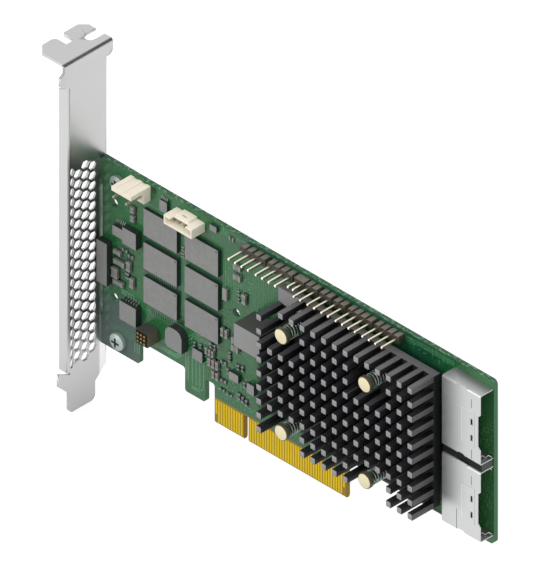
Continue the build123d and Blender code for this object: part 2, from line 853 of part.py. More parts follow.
def buffer_legs_row(side):
    """One row of bent legs, along the upper (1) or lower (-1) edge of the buffer chip."""
    profile = closed_outline([
        (0, leg_rise),
        (leg_shoulder, leg_rise),
        (leg_shoulder, 0),
        (leg_reach, 0),
        (leg_reach, leg_thickness),
        (leg_shoulder + leg_thickness, leg_thickness),
        (leg_shoulder + leg_thickness, leg_rise + leg_thickness),
        (0, leg_rise + leg_thickness),
    ])
    leg = extrude(Plane.YZ * profile, leg_width)
    if side < 0:
        leg = mirror(leg, about=Plane.XZ)
    edge = buffer_place[1] + (buffer_size[1] if side > 0 else 0)
    first = buffer_place[0] + (buffer_size[0] - (buffer_legs - 1) * leg_pitch - leg_width) / 2
    return [Pos(first + index * leg_pitch, edge, 0) * leg for index in range(buffer_legs)]


def service_socket():
    """The small square socket, with a shallow recess in its front."""
    block = plan_box(service_place, (service_size, service_size), 0, service_height)
    corner = (service_place[0] + service_wall, service_place[1] + service_wall)
    inside = service_size - 2 * service_wall
    return block - plan_box(corner, (inside, inside), service_height - service_recess, service_height)


def service_socket_contacts():
    """A square grid of contacts standing in the service socket's recess."""
    middle = (service_contacts - 1) / 2
    contacts = []
    for column in range(service_contacts):
        for row in range(service_contacts):
            place = (
                service_place[0] + service_size / 2 + (column - middle) * service_pitch,
                service_place[1] + service_size / 2 + (row - middle) * service_pitch,
            )
            floor = service_height - service_recess
            contacts.append(plan_post(place, service_contact, floor, service_contact_reach))
    return contacts


def buzzer():
    """The buzzer: a block with a rounded top and one clipped foot."""
    left, low = buzzer_place
    right = left + buzzer_size[0]
    top = low + buzzer_size[1]
    outline = closed_outline([
        (left + buzzer_chamfer, low),
        (right, low),
        (right, top),
        (left, top),
        (left, low + buzzer_chamfer),
    ])
    outline = round_corners(outline, [(left, top), (right, top)], buzzer_round)
    return plan_shape(outline, 0, buzzer_height)


def power_switch():
    """The power switch: a block with a narrower step towards the bracket."""
    body = plan_box(switch_place, switch_size, 0, switch_height)
    tab_low = switch_place[1] + (switch_size[1] - switch_tab[1]) / 2
    return body + plan_box((switch_place[0] - switch_tab[0], tab_low), switch_tab, 0, switch_height)


def power_choke():
    """The tall power choke, drawn in at its foot."""
    foot_corner = (choke_place[0] + choke_inset, choke_place[1] + choke_inset)
    foot_size = (choke_size[0] - 2 * choke_inset, choke_size[1] - 2 * choke_inset)
    foot = plan_box(foot_corner, foot_size, 0, choke_foot)
    return foot + plan_box(choke_place, choke_size, choke_foot, choke_height)


def small_blocks(rows, height):
    """Rows of small blocks on the component side."""
    blocks = []
    for first, step, count, size in rows:
        for index in range(count):
            corner = (first[0] + index * step[0], first[1] + index * step[1])
            blocks.append(plan_box(corner, size, 0, height))
    return blocks


def decoupling_capacitors():
    """A grid of capacitors on the solder side, behind the processor."""
    blocks = []
    for column in range(decoupling_column_count):
        for row in range(decoupling_row_count):
            across = (column - (decoupling_column_count - 1) / 2) * decoupling_pitch_x
            up = (row - (decoupling_row_count - 1) / 2) * decoupling_pitch_y
            corner = (
                processor_place[0] + across - decoupling_size[0] / 2,
                processor_place[1] + up - decoupling_size[1] / 2,
            )
            back = -board_thickness
            blocks.append(plan_box(corner, decoupling_size, back - decoupling_height, back))
    return blocks


def save(name, solids):
    """Write one node from solids drawn on the plan of the component side."""
    placed = [component_side * solid for solid in solids]
    shape = placed[0] if len(placed) == 1 else Compound(children=placed)
    export_step(shape, os.path.join("parts", name + ".step"))


def save_card():
    """The board, its edge contacts, the bracket and the screws."""
    save("printed_circuit_board", [board()])
    save("edge_contacts_component_side", edge_pads(0, pad_thickness))
    save("edge_contacts_solder_side", edge_pads(-board_thickness - pad_thickness, -board_thickness))
    save("mounting_bracket", [bracket()])
    save("bracket_screws", [screw(level) for level in screw_heights])


def save_cooling():
    """The processor, its heat sink and what holds it."""
    save("processor_substrate", [plan_post(processor_place, substrate_size, 0, substrate_height)])
    save("processor_lid", [processor_lid()])
    pad_low_face = substrate_height + lid_height
    save("thermal_pad", [plan_post(processor_place, thermal_pad_size, pad_low_face, sink_lift)])
    save("heat_sink", [heat_sink()])
    save("push_pins", [push_pin(place) for place in push_pin_places])
    save("push_pin_springs", [pin_spring(place) for place in push_pin_places])
    save("decoupling_capacitors", decoupling_capacitors())


def save_connectors():
    """The rear sockets, the pin headers and the plastic headers."""
    for name, level in zip(("lower", "upper"), socket_heights):
        save(name + "_socket_shell", [socket_shell(level)])
        save(name + "_socket_housing", [socket_housing(level)])
        save(name + "_socket_contacts", socket_contacts(level))
    save("socket_divider", [socket_divider()])
    for index, row in enumerate(header_rows):
        save("pin_header_" + str(index + 1), [header_body(row)])
    save("jumper_header", [jumper_body()])
    save("header_pins", header_posts())
    save("fan_header", [fan_header()])
    save("fan_header_pins", tail_posts(fan_pins, header_pin, fan_pin_reach))
    save("cable_header", [cable_header()])
    save("cable_header_pins", tail_posts(cable_pins, cable_pin, cable_pin_reach))
    save("service_socket", [service_socket()])
    save("service_socket_contacts", service_socket_contacts())


def save_chips():
    """The chips and the small parts of the component side."""
    places = [(x, y) for x in memory_columns for y in memory_rows]
    for index, place in enumerate(places):
        save("memory_chip_" + str(index + 1), [plan_box(place, memory_size, 0, memory_height)])
    side_memory = plan_box(side_memory_place, side_memory_size, 0, side_memory_height)
    save("side_memory_chip", [side_memory])
    save("buffer_chip", [plan_box(buffer_place, buffer_size, 0, buffer_height)])
    save("buffer_chip_legs", buffer_legs_row(1) + buffer_legs_row(-1))
    save("clock_chip", [plan_box(clock_place, clock_size, 0, chip_height)])
    save("monitor_chip", [plan_box(monitor_place, monitor_size, 0, chip_height)])
    save("sensor_chip", [plan_box(sensor_place, sensor_size, 0, chip_height)])
    save("crystal", [plan_box(crystal_place, crystal_size, 0, chip_height)])
    save("left_coil", [plan_box(left_coil_place, left_coil_size, 0, coil_height)])
    save("right_coil", [plan_box(right_coil_place, right_coil_size, 0, coil_height)])
    save("buzzer", [buzzer()])
    save("power_switch", [power_switch()])
    save("power_choke", [power_choke()])
    save("ceramic_capacitors", small_blocks(capacitor_rows, capacitor_height))
    save("chip_resistors", small_blocks(resistor_rows, resistor_height))


os.makedirs("parts", exist_ok=True)
save_card()
save_cooling()
save_connectors()
save_chips()
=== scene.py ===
import math

import bmesh
import bpy
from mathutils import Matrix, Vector


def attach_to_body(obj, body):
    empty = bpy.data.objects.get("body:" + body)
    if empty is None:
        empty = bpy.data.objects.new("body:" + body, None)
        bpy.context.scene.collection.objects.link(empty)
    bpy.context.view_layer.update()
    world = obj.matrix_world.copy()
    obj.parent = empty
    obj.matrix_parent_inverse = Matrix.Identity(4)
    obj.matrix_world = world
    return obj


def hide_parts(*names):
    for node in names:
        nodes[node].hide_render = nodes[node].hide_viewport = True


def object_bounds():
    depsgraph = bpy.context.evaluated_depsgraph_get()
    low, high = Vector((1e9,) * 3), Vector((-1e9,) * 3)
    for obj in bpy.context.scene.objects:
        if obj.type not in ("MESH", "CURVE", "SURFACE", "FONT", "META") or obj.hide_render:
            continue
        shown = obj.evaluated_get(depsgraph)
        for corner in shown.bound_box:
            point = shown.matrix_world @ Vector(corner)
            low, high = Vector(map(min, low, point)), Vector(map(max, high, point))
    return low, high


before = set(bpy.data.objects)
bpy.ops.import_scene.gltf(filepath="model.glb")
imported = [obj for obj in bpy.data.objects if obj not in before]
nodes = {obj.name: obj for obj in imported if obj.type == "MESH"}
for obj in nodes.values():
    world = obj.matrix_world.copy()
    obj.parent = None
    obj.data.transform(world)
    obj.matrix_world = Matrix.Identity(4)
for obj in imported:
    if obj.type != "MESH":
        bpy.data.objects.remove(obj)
cad_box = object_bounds()

# Places on the card, in millimetres: x from the bracket's edge, z up the board and h out of
# its component face. The board's solder face is at h -1.57.
KEY_PLACE = 57.6
HALF_BOARD = 0.785
SOLDER_FACE = -1.57

# Heat sink and push pins
SINK_FRONT = 5.2
SINK_LEFT = 75.4
SINK_LOW = 19.05
SINK_WIDTH = 61.78
SINK_HEIGHT = 45.21
PUSH_PINS = ((84.5, 22.65), (84.5, 55.65), (117.5, 22.65), (117.5, 55.65))
BARE_CORNER = (77.5, 66.2)
PUSH_PIN_BACK = 12.0
SPRING_LIFT = 0.25

# Pin headers along the top edge: first pin and number of pins. The others give each pin's x.
HEADER_ROW = 66.65
HEADER_PITCH = 2.54
HEADERS = ((58.8, 4), (69.5, 4), (84.5, 2), (90.0, 2), (95.5, 2), (101.1, 4), (111.7, 4))
JUMPER_PINS = (80.0, 82.0)
FAN_PINS = (13.385, 18.465)
FAN_PIN_ROW = 65.4
CABLE_PINS = (32.75, 34.75, 36.75, 38.75)
CABLE_PIN_ROW = 64.85
PIN_TAIL = SOLDER_FACE - 1.3

# Rear sockets: each shell's lower end, and its raised latch plate
SOCKET_LOWS = (16.3, 42.65)
SOCKET_FACE = 5.2
LATCH_FACE = 5.32
LATCH_LEFT = 148.1
LATCH_RIGHT = 153.1
LATCH_LOW = 5.25
LATCH_HIGH = 17.05
SLIT_PLACE = 151.9

MEMORY_CORNERS = tuple((x, z) for x in (30.5, 46.8) for z in (36.5, 48.05, 59.6))
MEMORY_FACE = 1.1

CHIPS = (
    "memory_chip_1", "memory_chip_2", "memory_chip_3", "memory_chip_4", "memory_chip_5",
    "memory_chip_6", "side_memory_chip", "buffer_chip", "clock_chip", "monitor_chip", "sensor_chip",
    "power_switch",
)

# The bracket screws in metres: their place along the card, the lower one's height and how far apart
SCREW_PLACE = -0.0503
SCREW_LOW = 0.009
SCREW_SPACING = 0.054
RECESS_REACH = 0.00165

# Fans of tracks under the mask: first line, last line and how many there are
FRONT_FANS = (
    (((38.7, 6.5), (38.7, 15.5)), ((39.5, 6.5), (39.5, 15.5)), 2),
    (((48.6, 58.0), (48.6, 45.5)), ((56.5, 58.0), (56.5, 45.5)), 9),
    (((56.4, 41.0), (56.4, 30.0), (55.0, 28.6)), ((60.4, 41.0), (60.4, 28.0), (59.0, 26.6)), 6),
    (((60.5, 47.5), (60.5, 60.5), (63.0, 63.0)), ((73.5, 47.5), (73.5, 60.0), (76.0, 62.5)), 14),
    (((60.0, 9.2), (60.0, 11.0), (61.5, 12.5)), ((92.0, 9.2), (92.0, 11.0), (93.5, 12.5)), 24),
    (((46.5, 9.0), (46.5, 11.5), (44.5, 13.5)), ((55.5, 9.0), (55.5, 11.0), (53.5, 13.0)), 8),
    (((31.8, 30.0), (32.2, 34.0), (32.2, 60.0)), ((33.6, 30.0), (33.6, 34.0), (33.6, 60.0)), 4),
    (((16.0, 26.5), (47.0, 26.5)), ((16.0, 24.9), (43.0, 24.9)), 4),
    (((120.0, 65.8), (123.0, 65.8), (126.0, 66.6), (140.0, 66.6)),
     ((120.0, 67.4), (123.0, 67.4), (126.0, 68.0), (140.0, 68.0)), 4),
    (((45.0, 67.6), (57.0, 67.6)), ((45.0, 66.4), (55.0, 66.4)), 3),
    (((98.0, 14.6), (137.0, 14.6), (139.0, 16.6)), ((98.0, 17.8), (136.0, 17.8), (137.5, 19.3)), 8),
    (((1.8, 17.0), (1.8, 24.0), (3.0, 25.2)), ((3.4, 17.0), (3.4, 23.4), (4.6, 24.6)), 3),
    (((4.0, 13.8), (13.0, 13.8), (15.0, 15.8)), ((4.0, 12.0), (13.8, 12.0), (16.2, 14.4)), 3),
)
BRIGHT_FANS = (
    (((34.8, 9.0), (34.8, 20.0), (37.5, 22.7)), ((40.8, 9.0), (40.8, 18.0), (43.5, 20.7)), 5),
    (((33.6, 11.5), (33.6, 23.0), (36.0, 25.4)), ((34.2, 9.4), (34.2, 22.4), (37.0, 25.2)), 2),
    (((36.0, 7.4), (39.0, 7.4), (40.4, 8.8)), ((36.0, 8.0), (38.6, 8.0), (39.8, 9.2)), 2),
    (((13.6, 8.3), (13.6, 11.6)), ((15.4, 8.3), (15.4, 11.6)), 3),
    (((8.2, 26.0), (12.0, 26.0), (13.4, 24.6)), ((8.2, 27.2), (12.8, 27.2), (14.6, 25.4)), 3),
    (((17.2, 61.6), (30.0, 61.6)), ((17.2, 60.8), (29.0, 60.8)), 2),
    (((18.5, 15.6), (30.0, 15.6), (32.0, 17.6)), ((18.5, 14.6), (30.4, 14.6), (32.8, 17.0)), 3),
)
BACK_FANS = (
    (((60.0, 9.2), (60.0, 20.0), (76.0, 36.0), (88.0, 36.0)),
     ((84.0, 9.2), (84.0, 16.0), (92.0, 24.0), (92.0, 30.0)), 20),
    (((112.0, 32.0), (130.0, 32.0), (138.0, 24.0), (142.0, 24.0)),
     ((112.0, 46.0), (128.0, 46.0), (138.0, 56.0), (142.0, 56.0)), 16),
    (((20.0, 30.0), (62.0, 30.0), (70.0, 38.0), (88.0, 38.0)),
     ((20.0, 58.0), (62.0, 58.0), (76.0, 46.0), (88.0, 46.0)), 22),
    (((60.0, 65.0), (60.0, 60.0), (80.0, 56.0), (96.0, 50.0)),
     ((120.0, 65.0), (120.0, 61.0), (112.0, 56.0), (106.0, 50.0)), 18),
)

# Oblong parts of the board with vias, bright short tracks and dark ones: low and high corners
VIA_AREAS = (
    ((17.0, 62.0), (30.0, 67.5)), ((47.5, 23.5), (60.0, 37.5)), ((48.0, 46.0), (60.0, 64.5)),
    ((62.0, 10.0), (96.0, 18.5)), ((98.0, 14.5), (138.0, 18.5)), ((121.0, 65.0), (153.5, 68.0)),
    ((2.0, 25.0), (17.0, 44.0)), ((20.0, 14.0), (33.0, 18.5)), ((62.0, 48.0), (74.5, 64.5)),
)
BACK_VIA_AREAS = (((4.0, 16.0), (150.0, 62.0)),)
BRIGHT_AREAS = (
    ((122.0, 65.0), (138.0, 67.8)), ((46.0, 66.4), (57.0, 68.2)), ((150.0, 17.2), (155.0, 39.2)),
    ((150.0, 43.6), (155.0, 52.6)), ((46.5, 10.0), (60.0, 16.0)), ((47.5, 17.0), (61.5, 23.0)),
    ((32.5, 22.0), (46.5, 27.6)), ((11.0, 44.5), (17.4, 50.0)), ((27.5, 61.2), (44.0, 63.0)),
    ((49.0, 50.0), (59.5, 56.0)),
)
DARK_AREAS = (
    ((6.5, 33.0), (16.5, 46.0)), ((47.5, 35.0), (57.5, 52.0)), ((31.0, 14.0), (60.0, 27.0)),
    ((17.5, 22.4), (32.5, 26.2)), ((27.0, 61.0), (46.0, 64.6)), ((122.0, 65.0), (137.0, 67.5)),
)

FRONT, TOP, RIGHT = Vector((0, -1, 0)), Vector((0, 0, 1)), Vector((1, 0, 0))
QUARTER_TURN = math.pi / 2
COLOUR, FLOAT, VECTOR = "NodeSocketColor", "NodeSocketFloat", "NodeSocketVector"
GEOMETRY, WHOLE, FINISH = "NodeSocketGeometry", "NodeSocketInt", "NodeSocketMaterial"


def place(x, z, h):
    """A place on the card, in metres in the card's frame."""
    return Vector(((x - KEY_PLACE) / 1000, (-HALF_BOARD - h) / 1000, z / 1000))


class Net:
    """Adds nodes to one tree and joins their sockets."""

    def __init__(self, tree):
        self.tree = tree

    def fill(self, sockets, values):
        """Join each named socket to another node's, or set it. A colour may leave out its alpha."""
        for name, value in values.items():
            socket = sockets[name]
            if isinstance(value, bpy.types.NodeSocket):
                self.tree.links.new(value, socket)
            elif socket.type == "RGBA" and len(value) == 3:
                socket.default_value = (*value, 1)
            else:
                socket.default_value = value

    def add(self, kind, inputs=None, **settings):
        """A new node."""
        node = self.tree.nodes.new(kind)
        for name, value in settings.items():
            setattr(node, name, value)
        self.fill(node.inputs, inputs or {})
        return node

    def out(self, kind, inputs=None, **settings):
        """The first output of a new node."""
        return self.add(kind, inputs, **settings).outputs[0]

    def group(self, tree, values):
        """The outputs of one use of a node group."""
        return self.add(tree.bl_idname.replace("Tree", "Group"), values, node_tree=tree).outputs

    def math(self, operation, first, second=0.0, third=0.0, clamp=False):
        values = {0: first, 1: second, 2: third}
        return self.out("ShaderNodeMath", values, operation=operation, use_clamp=clamp)

    def times(self, product, *values):
        for value in values:
            product = self.math("MULTIPLY", product, value)
        return product

    def linear(self, value, factor, base):
        """A value times a factor, plus a base."""
        return self.math("MULTIPLY_ADD", value, factor, base)

    def minus(self, first, second):
        return self.math("SUBTRACT", first, second)

    def less(self, first, second):
        return self.math("LESS_THAN", first, second)

    def more(self, first, second):
        return self.math("GREATER_THAN", first, second)

    def step(self, value, low, high):
        """Rise smoothly from 0 to 1 as a value goes from low to high."""
        inputs = {"Value": value, "From Min": low, "From Max": high}
        return self.out("ShaderNodeMapRange", inputs, interpolation_type="SMOOTHSTEP")

    def fall(self, value, low, high):
        """Fall smoothly from 1 to 0 as a value goes from low to high."""
        return self.minus(1.0, self.step(value, low, high))

    def blend(self, share, first, second):
        """Mix two colours by a share from 0 to 1."""
        return self.add("ShaderNodeMix", {0: share, 6: first, 7: second}, data_type="RGBA").outputs[2]

    def vector(self, operation, first, values):
        return self.out("ShaderNodeVectorMath", {0: first, **values}, operation=operation)

    def parts(self, vector):
        return self.add("ShaderNodeSeparateXYZ", {0: vector}).outputs

    def combine(self, x=0.0, y=0.0, z=0.0):
        return self.out("ShaderNodeCombineXYZ", {0: x, 1: y, 2: z})

    def spot(self):
        """The shaded place, in metres in the card's frame."""
        return self.add("ShaderNodeTexCoord").outputs["Object"]

    def facing(self):
        """The three parts of the direction that a shaded surface faces."""
        return self.parts(self.add("ShaderNodeNewGeometry").outputs["Normal"])

    def noise(self, spot, scale, detail):
        return self.out("ShaderNodeTexNoise", {"Vector": spot, "Scale": scale, "Detail": detail})

    def relief(self, strength, distance, height, **under):
        inputs = {"Strength": strength, "Distance": distance, "Height": height, **under}
        return self.out("ShaderNodeBump", inputs)

    def moved(self, shape, shift):
        return self.out("GeometryNodeTransform", {"Geometry": shape, "Translation": shift})

    def stood(self, shape, turn=QUARTER_TURN, shift=(0, 0, 0)):
        """A shape that rose along +Z, turned to rise out of the component face, and moved."""
        return self.out("GeometryNodeTransform", {
            "Geometry": shape, "Rotation": (turn, 0, 0), "Translation": shift,
        })

    def joined(self, *shapes):
        node = self.add("GeometryNodeJoinGeometry")
        for shape in shapes:
            self.tree.links.new(shape, node.inputs[0])
        return node.outputs[0]

    def merged(self, *shapes):
        """Several shapes as one, without double corners."""
        return self.out("GeometryNodeMergeByDistance", {"Geometry": self.joined(*shapes), "Distance": 1e-7})

    def painted(self, shape, finish, **selection):
        return self.out("GeometryNodeSetMaterial", {0: shape, "Material": finish, **selection})

    def real(self, shape):
        return self.out("GeometryNodeRealizeInstances", {0: shape})

    def finished(self, shape, finish):
        """The end of a tree: real geometry, with its finish."""
        return self.painted(self.real(shape), finish)

    def on_points(self, points, shape, **values):
        """A copy of a shape at each point."""
        inputs = {"Points": points, "Instance": shape, **values}
        return self.out("GeometryNodeInstanceOnPoints", inputs)

    def circle(self, sides, radius):
        return self.out("GeometryNodeCurvePrimitiveCircle", {"Resolution": sides, "Radius": radius})

    def oblong(self, width, height):
        return self.out("GeometryNodeCurvePrimitiveQuadrilateral", {"Width": width, "Height": height})

    def rounded(self, line, radius):
        """A line with its corners rounded."""
        inputs = {"Curve": line, "Count": 2, "Radius": radius, "Limit Radius": True}
        return self.out("GeometryNodeFilletCurve", inputs, mode="POLY")

    def swept(self, line, section, capped):
        inputs = {"Curve": line, "Profile Curve": section, "Fill Caps": capped}
        return self.out("GeometryNodeCurveToMesh", inputs)

    def ring(self, sides, radius, rim, rise):
        """A flat ring on the board."""
        return self.stood(self.swept(self.circle(sides, radius), self.oblong(rim, rise), False))

    def raised(self, shape, height, **selection):
        """The node that raises a shape's faces along +Z."""
        return self.add("GeometryNodeExtrudeMesh", {
            "Mesh": shape, "Offset": self.combine(z=height), "Offset Scale": 1.0, "Individual": False,
            **selection,
        }, mode="FACES").outputs

    def scattered(self, given):
        """Points scattered over the given faces, never close together."""
        return self.out("GeometryNodeDistributePointsOnFaces", {
            "Mesh": given["Geometry"], "Distance Min": given["Spacing"], "Density Max": given["Density"],
            "Seed": given["Seed"],
        }, distribute_method="POISSON")

    def part_size(self):
        """The size of the part at each point."""
        inputs = {"Name": "part_size"}
        return self.parts(self.out("GeometryNodeInputNamedAttribute", inputs, data_type="FLOAT_VECTOR"))


def socket_kind(value):
    """The kind of socket that a starting value needs. Where there is none, the kind is given."""
    if isinstance(value, tuple):
        return COLOUR if len(value) == 4 else VECTOR
    return {float: FLOAT, int: WHOLE}.get(type(value), value)


def node_group(family, inputs, outputs):
    """Make a node group of the function below it, which wires it up and gives what it puts out."""

    def build(wire):
        tree = bpy.data.node_groups.new(wire.__name__, family)
        for label, value in inputs.items():
            kind = socket_kind(value)
            socket = tree.interface.new_socket(name=label, in_out="INPUT", socket_type=kind)
            if kind is not value:
                socket.default_value = value
        for label, kind in outputs.items():
            tree.interface.new_socket(name=label, in_out="OUTPUT", socket_type=kind)
        net = Net(tree)
        shown = wire(net, net.add("NodeGroupInput").outputs)
        net.fill(net.add("NodeGroupOutput").inputs, shown)
        return tree

    return build


def shape_tree(inputs):
    """Make a geometry tree of the function below it, which takes and gives a geometry."""

    def build(wire):
        def wire_shape(net, given):
            return {"Geometry": wire(net, given)}

        wire_shape.__name__ = wire.__name__
        ends = {"Geometry": GEOMETRY}
        return node_group("GeometryNodeTree", {**ends, **inputs}, ends)(wire_shape)

    return build


@node_group("ShaderNodeTree", {
    "Colour": (0.5, 0.5, 0.5, 1), "Spread": 0.15, "Grains": 3000.0, "Stretch": (1, 1, 1),
    "Roughness": 0.5, "Roughness Spread": 0.12, "Relief": 0.00001,
}, {"Colour": COLOUR, "Roughness": FLOAT, "Normal": VECTOR})
def fine_grain(net, given):
    """Small and broad variation of colour and roughness, with a fine relief."""
    spot = net.spot()
    fine = net.noise(net.vector("MULTIPLY", spot, {1: given["Stretch"]}), given["Grains"], 3.0)
    broad = net.noise(spot, 90.0, 2.0)
    both = net.math("ADD", net.linear(fine, 1.2, -0.6), net.linear(broad, 1.6, -0.8))
    gain = net.linear(both, given["Spread"], 1.0)
    return {
        "Colour": net.vector("SCALE", given["Colour"], {"Scale": gain}),
        "Roughness": net.linear(both, given["Roughness Spread"], given["Roughness"]),
        "Normal": net.relief(1.0, given["Relief"], fine),
    }


@node_group("ShaderNodeTree", {
    "Colour": (0.5, 0.5, 0.5, 1), "Worn Colour": (0.7, 0.7, 0.7, 1), "Amount": 0.4,
}, {"Colour": COLOUR})
def edge_wear(net, given):
    """A lighter colour along outer edges, broken up by noise."""
    sharp = net.step(net.add("ShaderNodeNewGeometry").outputs["Pointiness"], 0.515, 0.62)
    patchy = net.step(net.noise(net.spot(), 700.0, 4.0), 0.38, 0.62)
    share = net.times(sharp, patchy, given["Amount"])
    return {"Colour": net.blend(share, given["Colour"], given["Worn Colour"])}


@node_group("ShaderNodeTree", {"Block Size": 0.013, "Line Pitch": 0.0007}, {"Mask": FLOAT, "Height": FLOAT})
def buried_copper(net, given):
    """Lines of copper that show through the board's green mask, running another way in each block."""
    across, _, up = net.parts(net.spot())
    flat = net.combine(across, up)
    inputs = {"Vector": flat, "Scale": net.math("DIVIDE", 1.0, given["Block Size"])}
    blocks = net.add(
        "ShaderNodeTexVoronoi", inputs, distance="CHEBYCHEV", voronoi_dimensions="2D"
    ).outputs["Color"]
    choice = net.out("ShaderNodeSeparateColor", {0: blocks})
    lines = 0.0
    for way, low, high in (
        (across, -1.0, 0.34), (up, 0.34, 0.6), (net.math("ADD", across, up), 0.6, 0.7),
    ):
        pitches = net.math("DIVIDE", way, given["Line Pitch"])
        line = net.less(net.math("PINGPONG", pitches, 0.5), 0.19)
        chosen = net.times(net.more(choice, low), net.less(choice, high))
        lines = net.linear(line, chosen, lines)
    kept = net.more(net.noise(flat, 150.0, 1.0), 0.46)
    lines = net.math("MULTIPLY", lines, kept, clamp=True)
    return {"Mask": lines, "Height": lines}


def cleared(owner):
    """The emptied node tree of a new material or world."""
    owner.use_nodes = True
    owner.node_tree.nodes.clear()
    return Net(owner.node_tree)


def new_finish(name):
    """A new material with only a Principled shader joined to its output."""
    finish = bpy.data.materials.new(name)
    net = cleared(finish)
    shader = net.add("ShaderNodeBsdfPrincipled")
    net.add("ShaderNodeOutputMaterial", {"Surface": shader.outputs[0]})
    return finish, net, shader.inputs


def grain(net, colour, roughness, spread=0.15, grains=3000.0, stretch=(1, 1, 1), relief=0.00001):
    """What the shader takes from one use of the grain group, with this finish's own values."""
    shown = net.group(fine_grain, {
        "Colour": colour, "Roughness": roughness, "Spread": spread, "Grains": grains, "Stretch": stretch,
        "Relief": relief,
    })
    return {"Base Color": shown["Colour"], "Roughness": shown["Roughness"], "Normal": shown["Normal"]}


def plain(name, colour, roughness, metal=0.0, worn=None, worn_amount=0.5, gloss=0.5, **grain_values):
    """A finish of one substance: its colour with grain, relief and worn edges."""
    finish, net, shader = new_finish(name)
    values = grain(net, colour, roughness, **grain_values)
    if worn:
        inputs = {"Colour": values["Base Color"], "Worn Colour": worn, "Amount": worn_amount}
        values["Base Color"] = net.group(edge_wear, inputs)[0]
    net.fill(shader, {**values, "Metallic": metal, "Specular IOR Level": gloss})
    return finish


# Tints of the board's mask: colour, strength, where the tint rises and falls along the card,
# where it rises and falls up the board, and whether only the component face has it. The
# finishes give places in metres, in the card's frame. The tints by the bracket, under the
# sink, in the socket mouths and round the chips are painted light and shade.
BOARD_TINTS = {
    # painted shade and reflection on the board beside the bracket's solid lower part
    "painted bracket shade": ((0.07, 0.108, 0.102), 0.85, None, (-0.043, -0.0395), None, (0.0195, 0.026), False),
    "top edge": ((0.009, 0.062, 0.038), 0.75, (-0.012, 0.004), (0.07, 0.086), (0.056, 0.064), None, False),
    # painted shadow on the board under the heat sink's fins, where the board is also rougher
    "painted sink shadow": (
        (0.003, 0.012, 0.006), 0.92, (0.0032, 0.0062), (0.07999, 0.08001), (0.012, 0.015), (0.04, 0.047),
        True,
    ),
    # painted light: a lighter green on the board at the socket end, inside the mouths where it lies in shade
    "painted light at socket mouths": ((0.04, 0.165, 0.05), 1.0, (0.086, 0.0925), None, None, None, False),
    # painted shade on the board round the memory chips
    "painted shade round the chips": (
        (0.008, 0.03, 0.018), 0.55, (-0.041, -0.0392), (-0.01, -0.0082), (0.0253, 0.0271),
        (0.0591, 0.0609), True,
    ),
}
FINGER_START = -0.0131
FINGER_END = 0.0397
FINGER_TOP = 0.0088


def board_finish():
    """Green mask over copper, amber laminate round the edge contacts, glass fibre on the cut edges."""
    finish, net, shader = new_finish("green_solder_mask")
    blend, times = net.blend, net.times
    spot = net.spot()
    across, _, up = net.parts(spot)
    facing = net.facing()
    front = net.less(facing["Y"], -0.5)
    copper = net.group(buried_copper, {})
    green = blend(copper["Mask"], (0.012, 0.112, 0.03), (0.02, 0.15, 0.042))
    masks = {}
    for name, (colour, strength, *limits, only_front) in BOARD_TINTS.items():
        mask = times(front, strength) if only_front else strength
        for way, fade, limit in zip((across, across, up, up), (net.step, net.fall) * 2, limits):
            if limit:
                mask = times(mask, fade(way, *limit))
        masks[name] = mask
        green = blend(mask, green, colour)
    bare = times(
        net.step(across, FINGER_START, FINGER_START + 0.0001), net.less(across, FINGER_END),
        net.less(up, FINGER_TOP),
    )
    face = blend(bare, green, (0.27, 0.16, 0.006))
    layers = net.add(
        "ShaderNodeTexWave", {"Vector": spot, "Scale": 700.0, "Distortion": 1.5, "Detail": 2.0},
        bands_direction="Y",
    ).outputs["Fac"]
    fibre = blend(layers, (0.052, 0.155, 0.082), (0.08, 0.21, 0.112))
    amber = blend(layers, (0.33, 0.19, 0.01), (0.44, 0.27, 0.016))
    specks = net.step(net.noise(spot, 900.0, 2.0), 0.5, 0.62)
    speckled = blend(specks, (0.022, 0.095, 0.042), (0.12, 0.27, 0.16))
    edge = blend(bare, blend(net.step(facing["Z"], 0.6, 0.9), fibre, speckled), amber)
    on_face = net.more(net.math("ABSOLUTE", facing["Y"]), 0.97)
    values = grain(net, blend(on_face, edge, face), 0.27, spread=0.1, grains=1600.0, relief=0.000004)
    rough = net.linear(net.minus(1.0, on_face), 0.4, values["Roughness"])
    values["Roughness"] = net.linear(masks["painted sink shadow"], 0.6, rough)
    values["Normal"] = net.relief(0.6, 0.00003, copper["Height"], Normal=values["Normal"])
    net.fill(shader, values)
    return finish


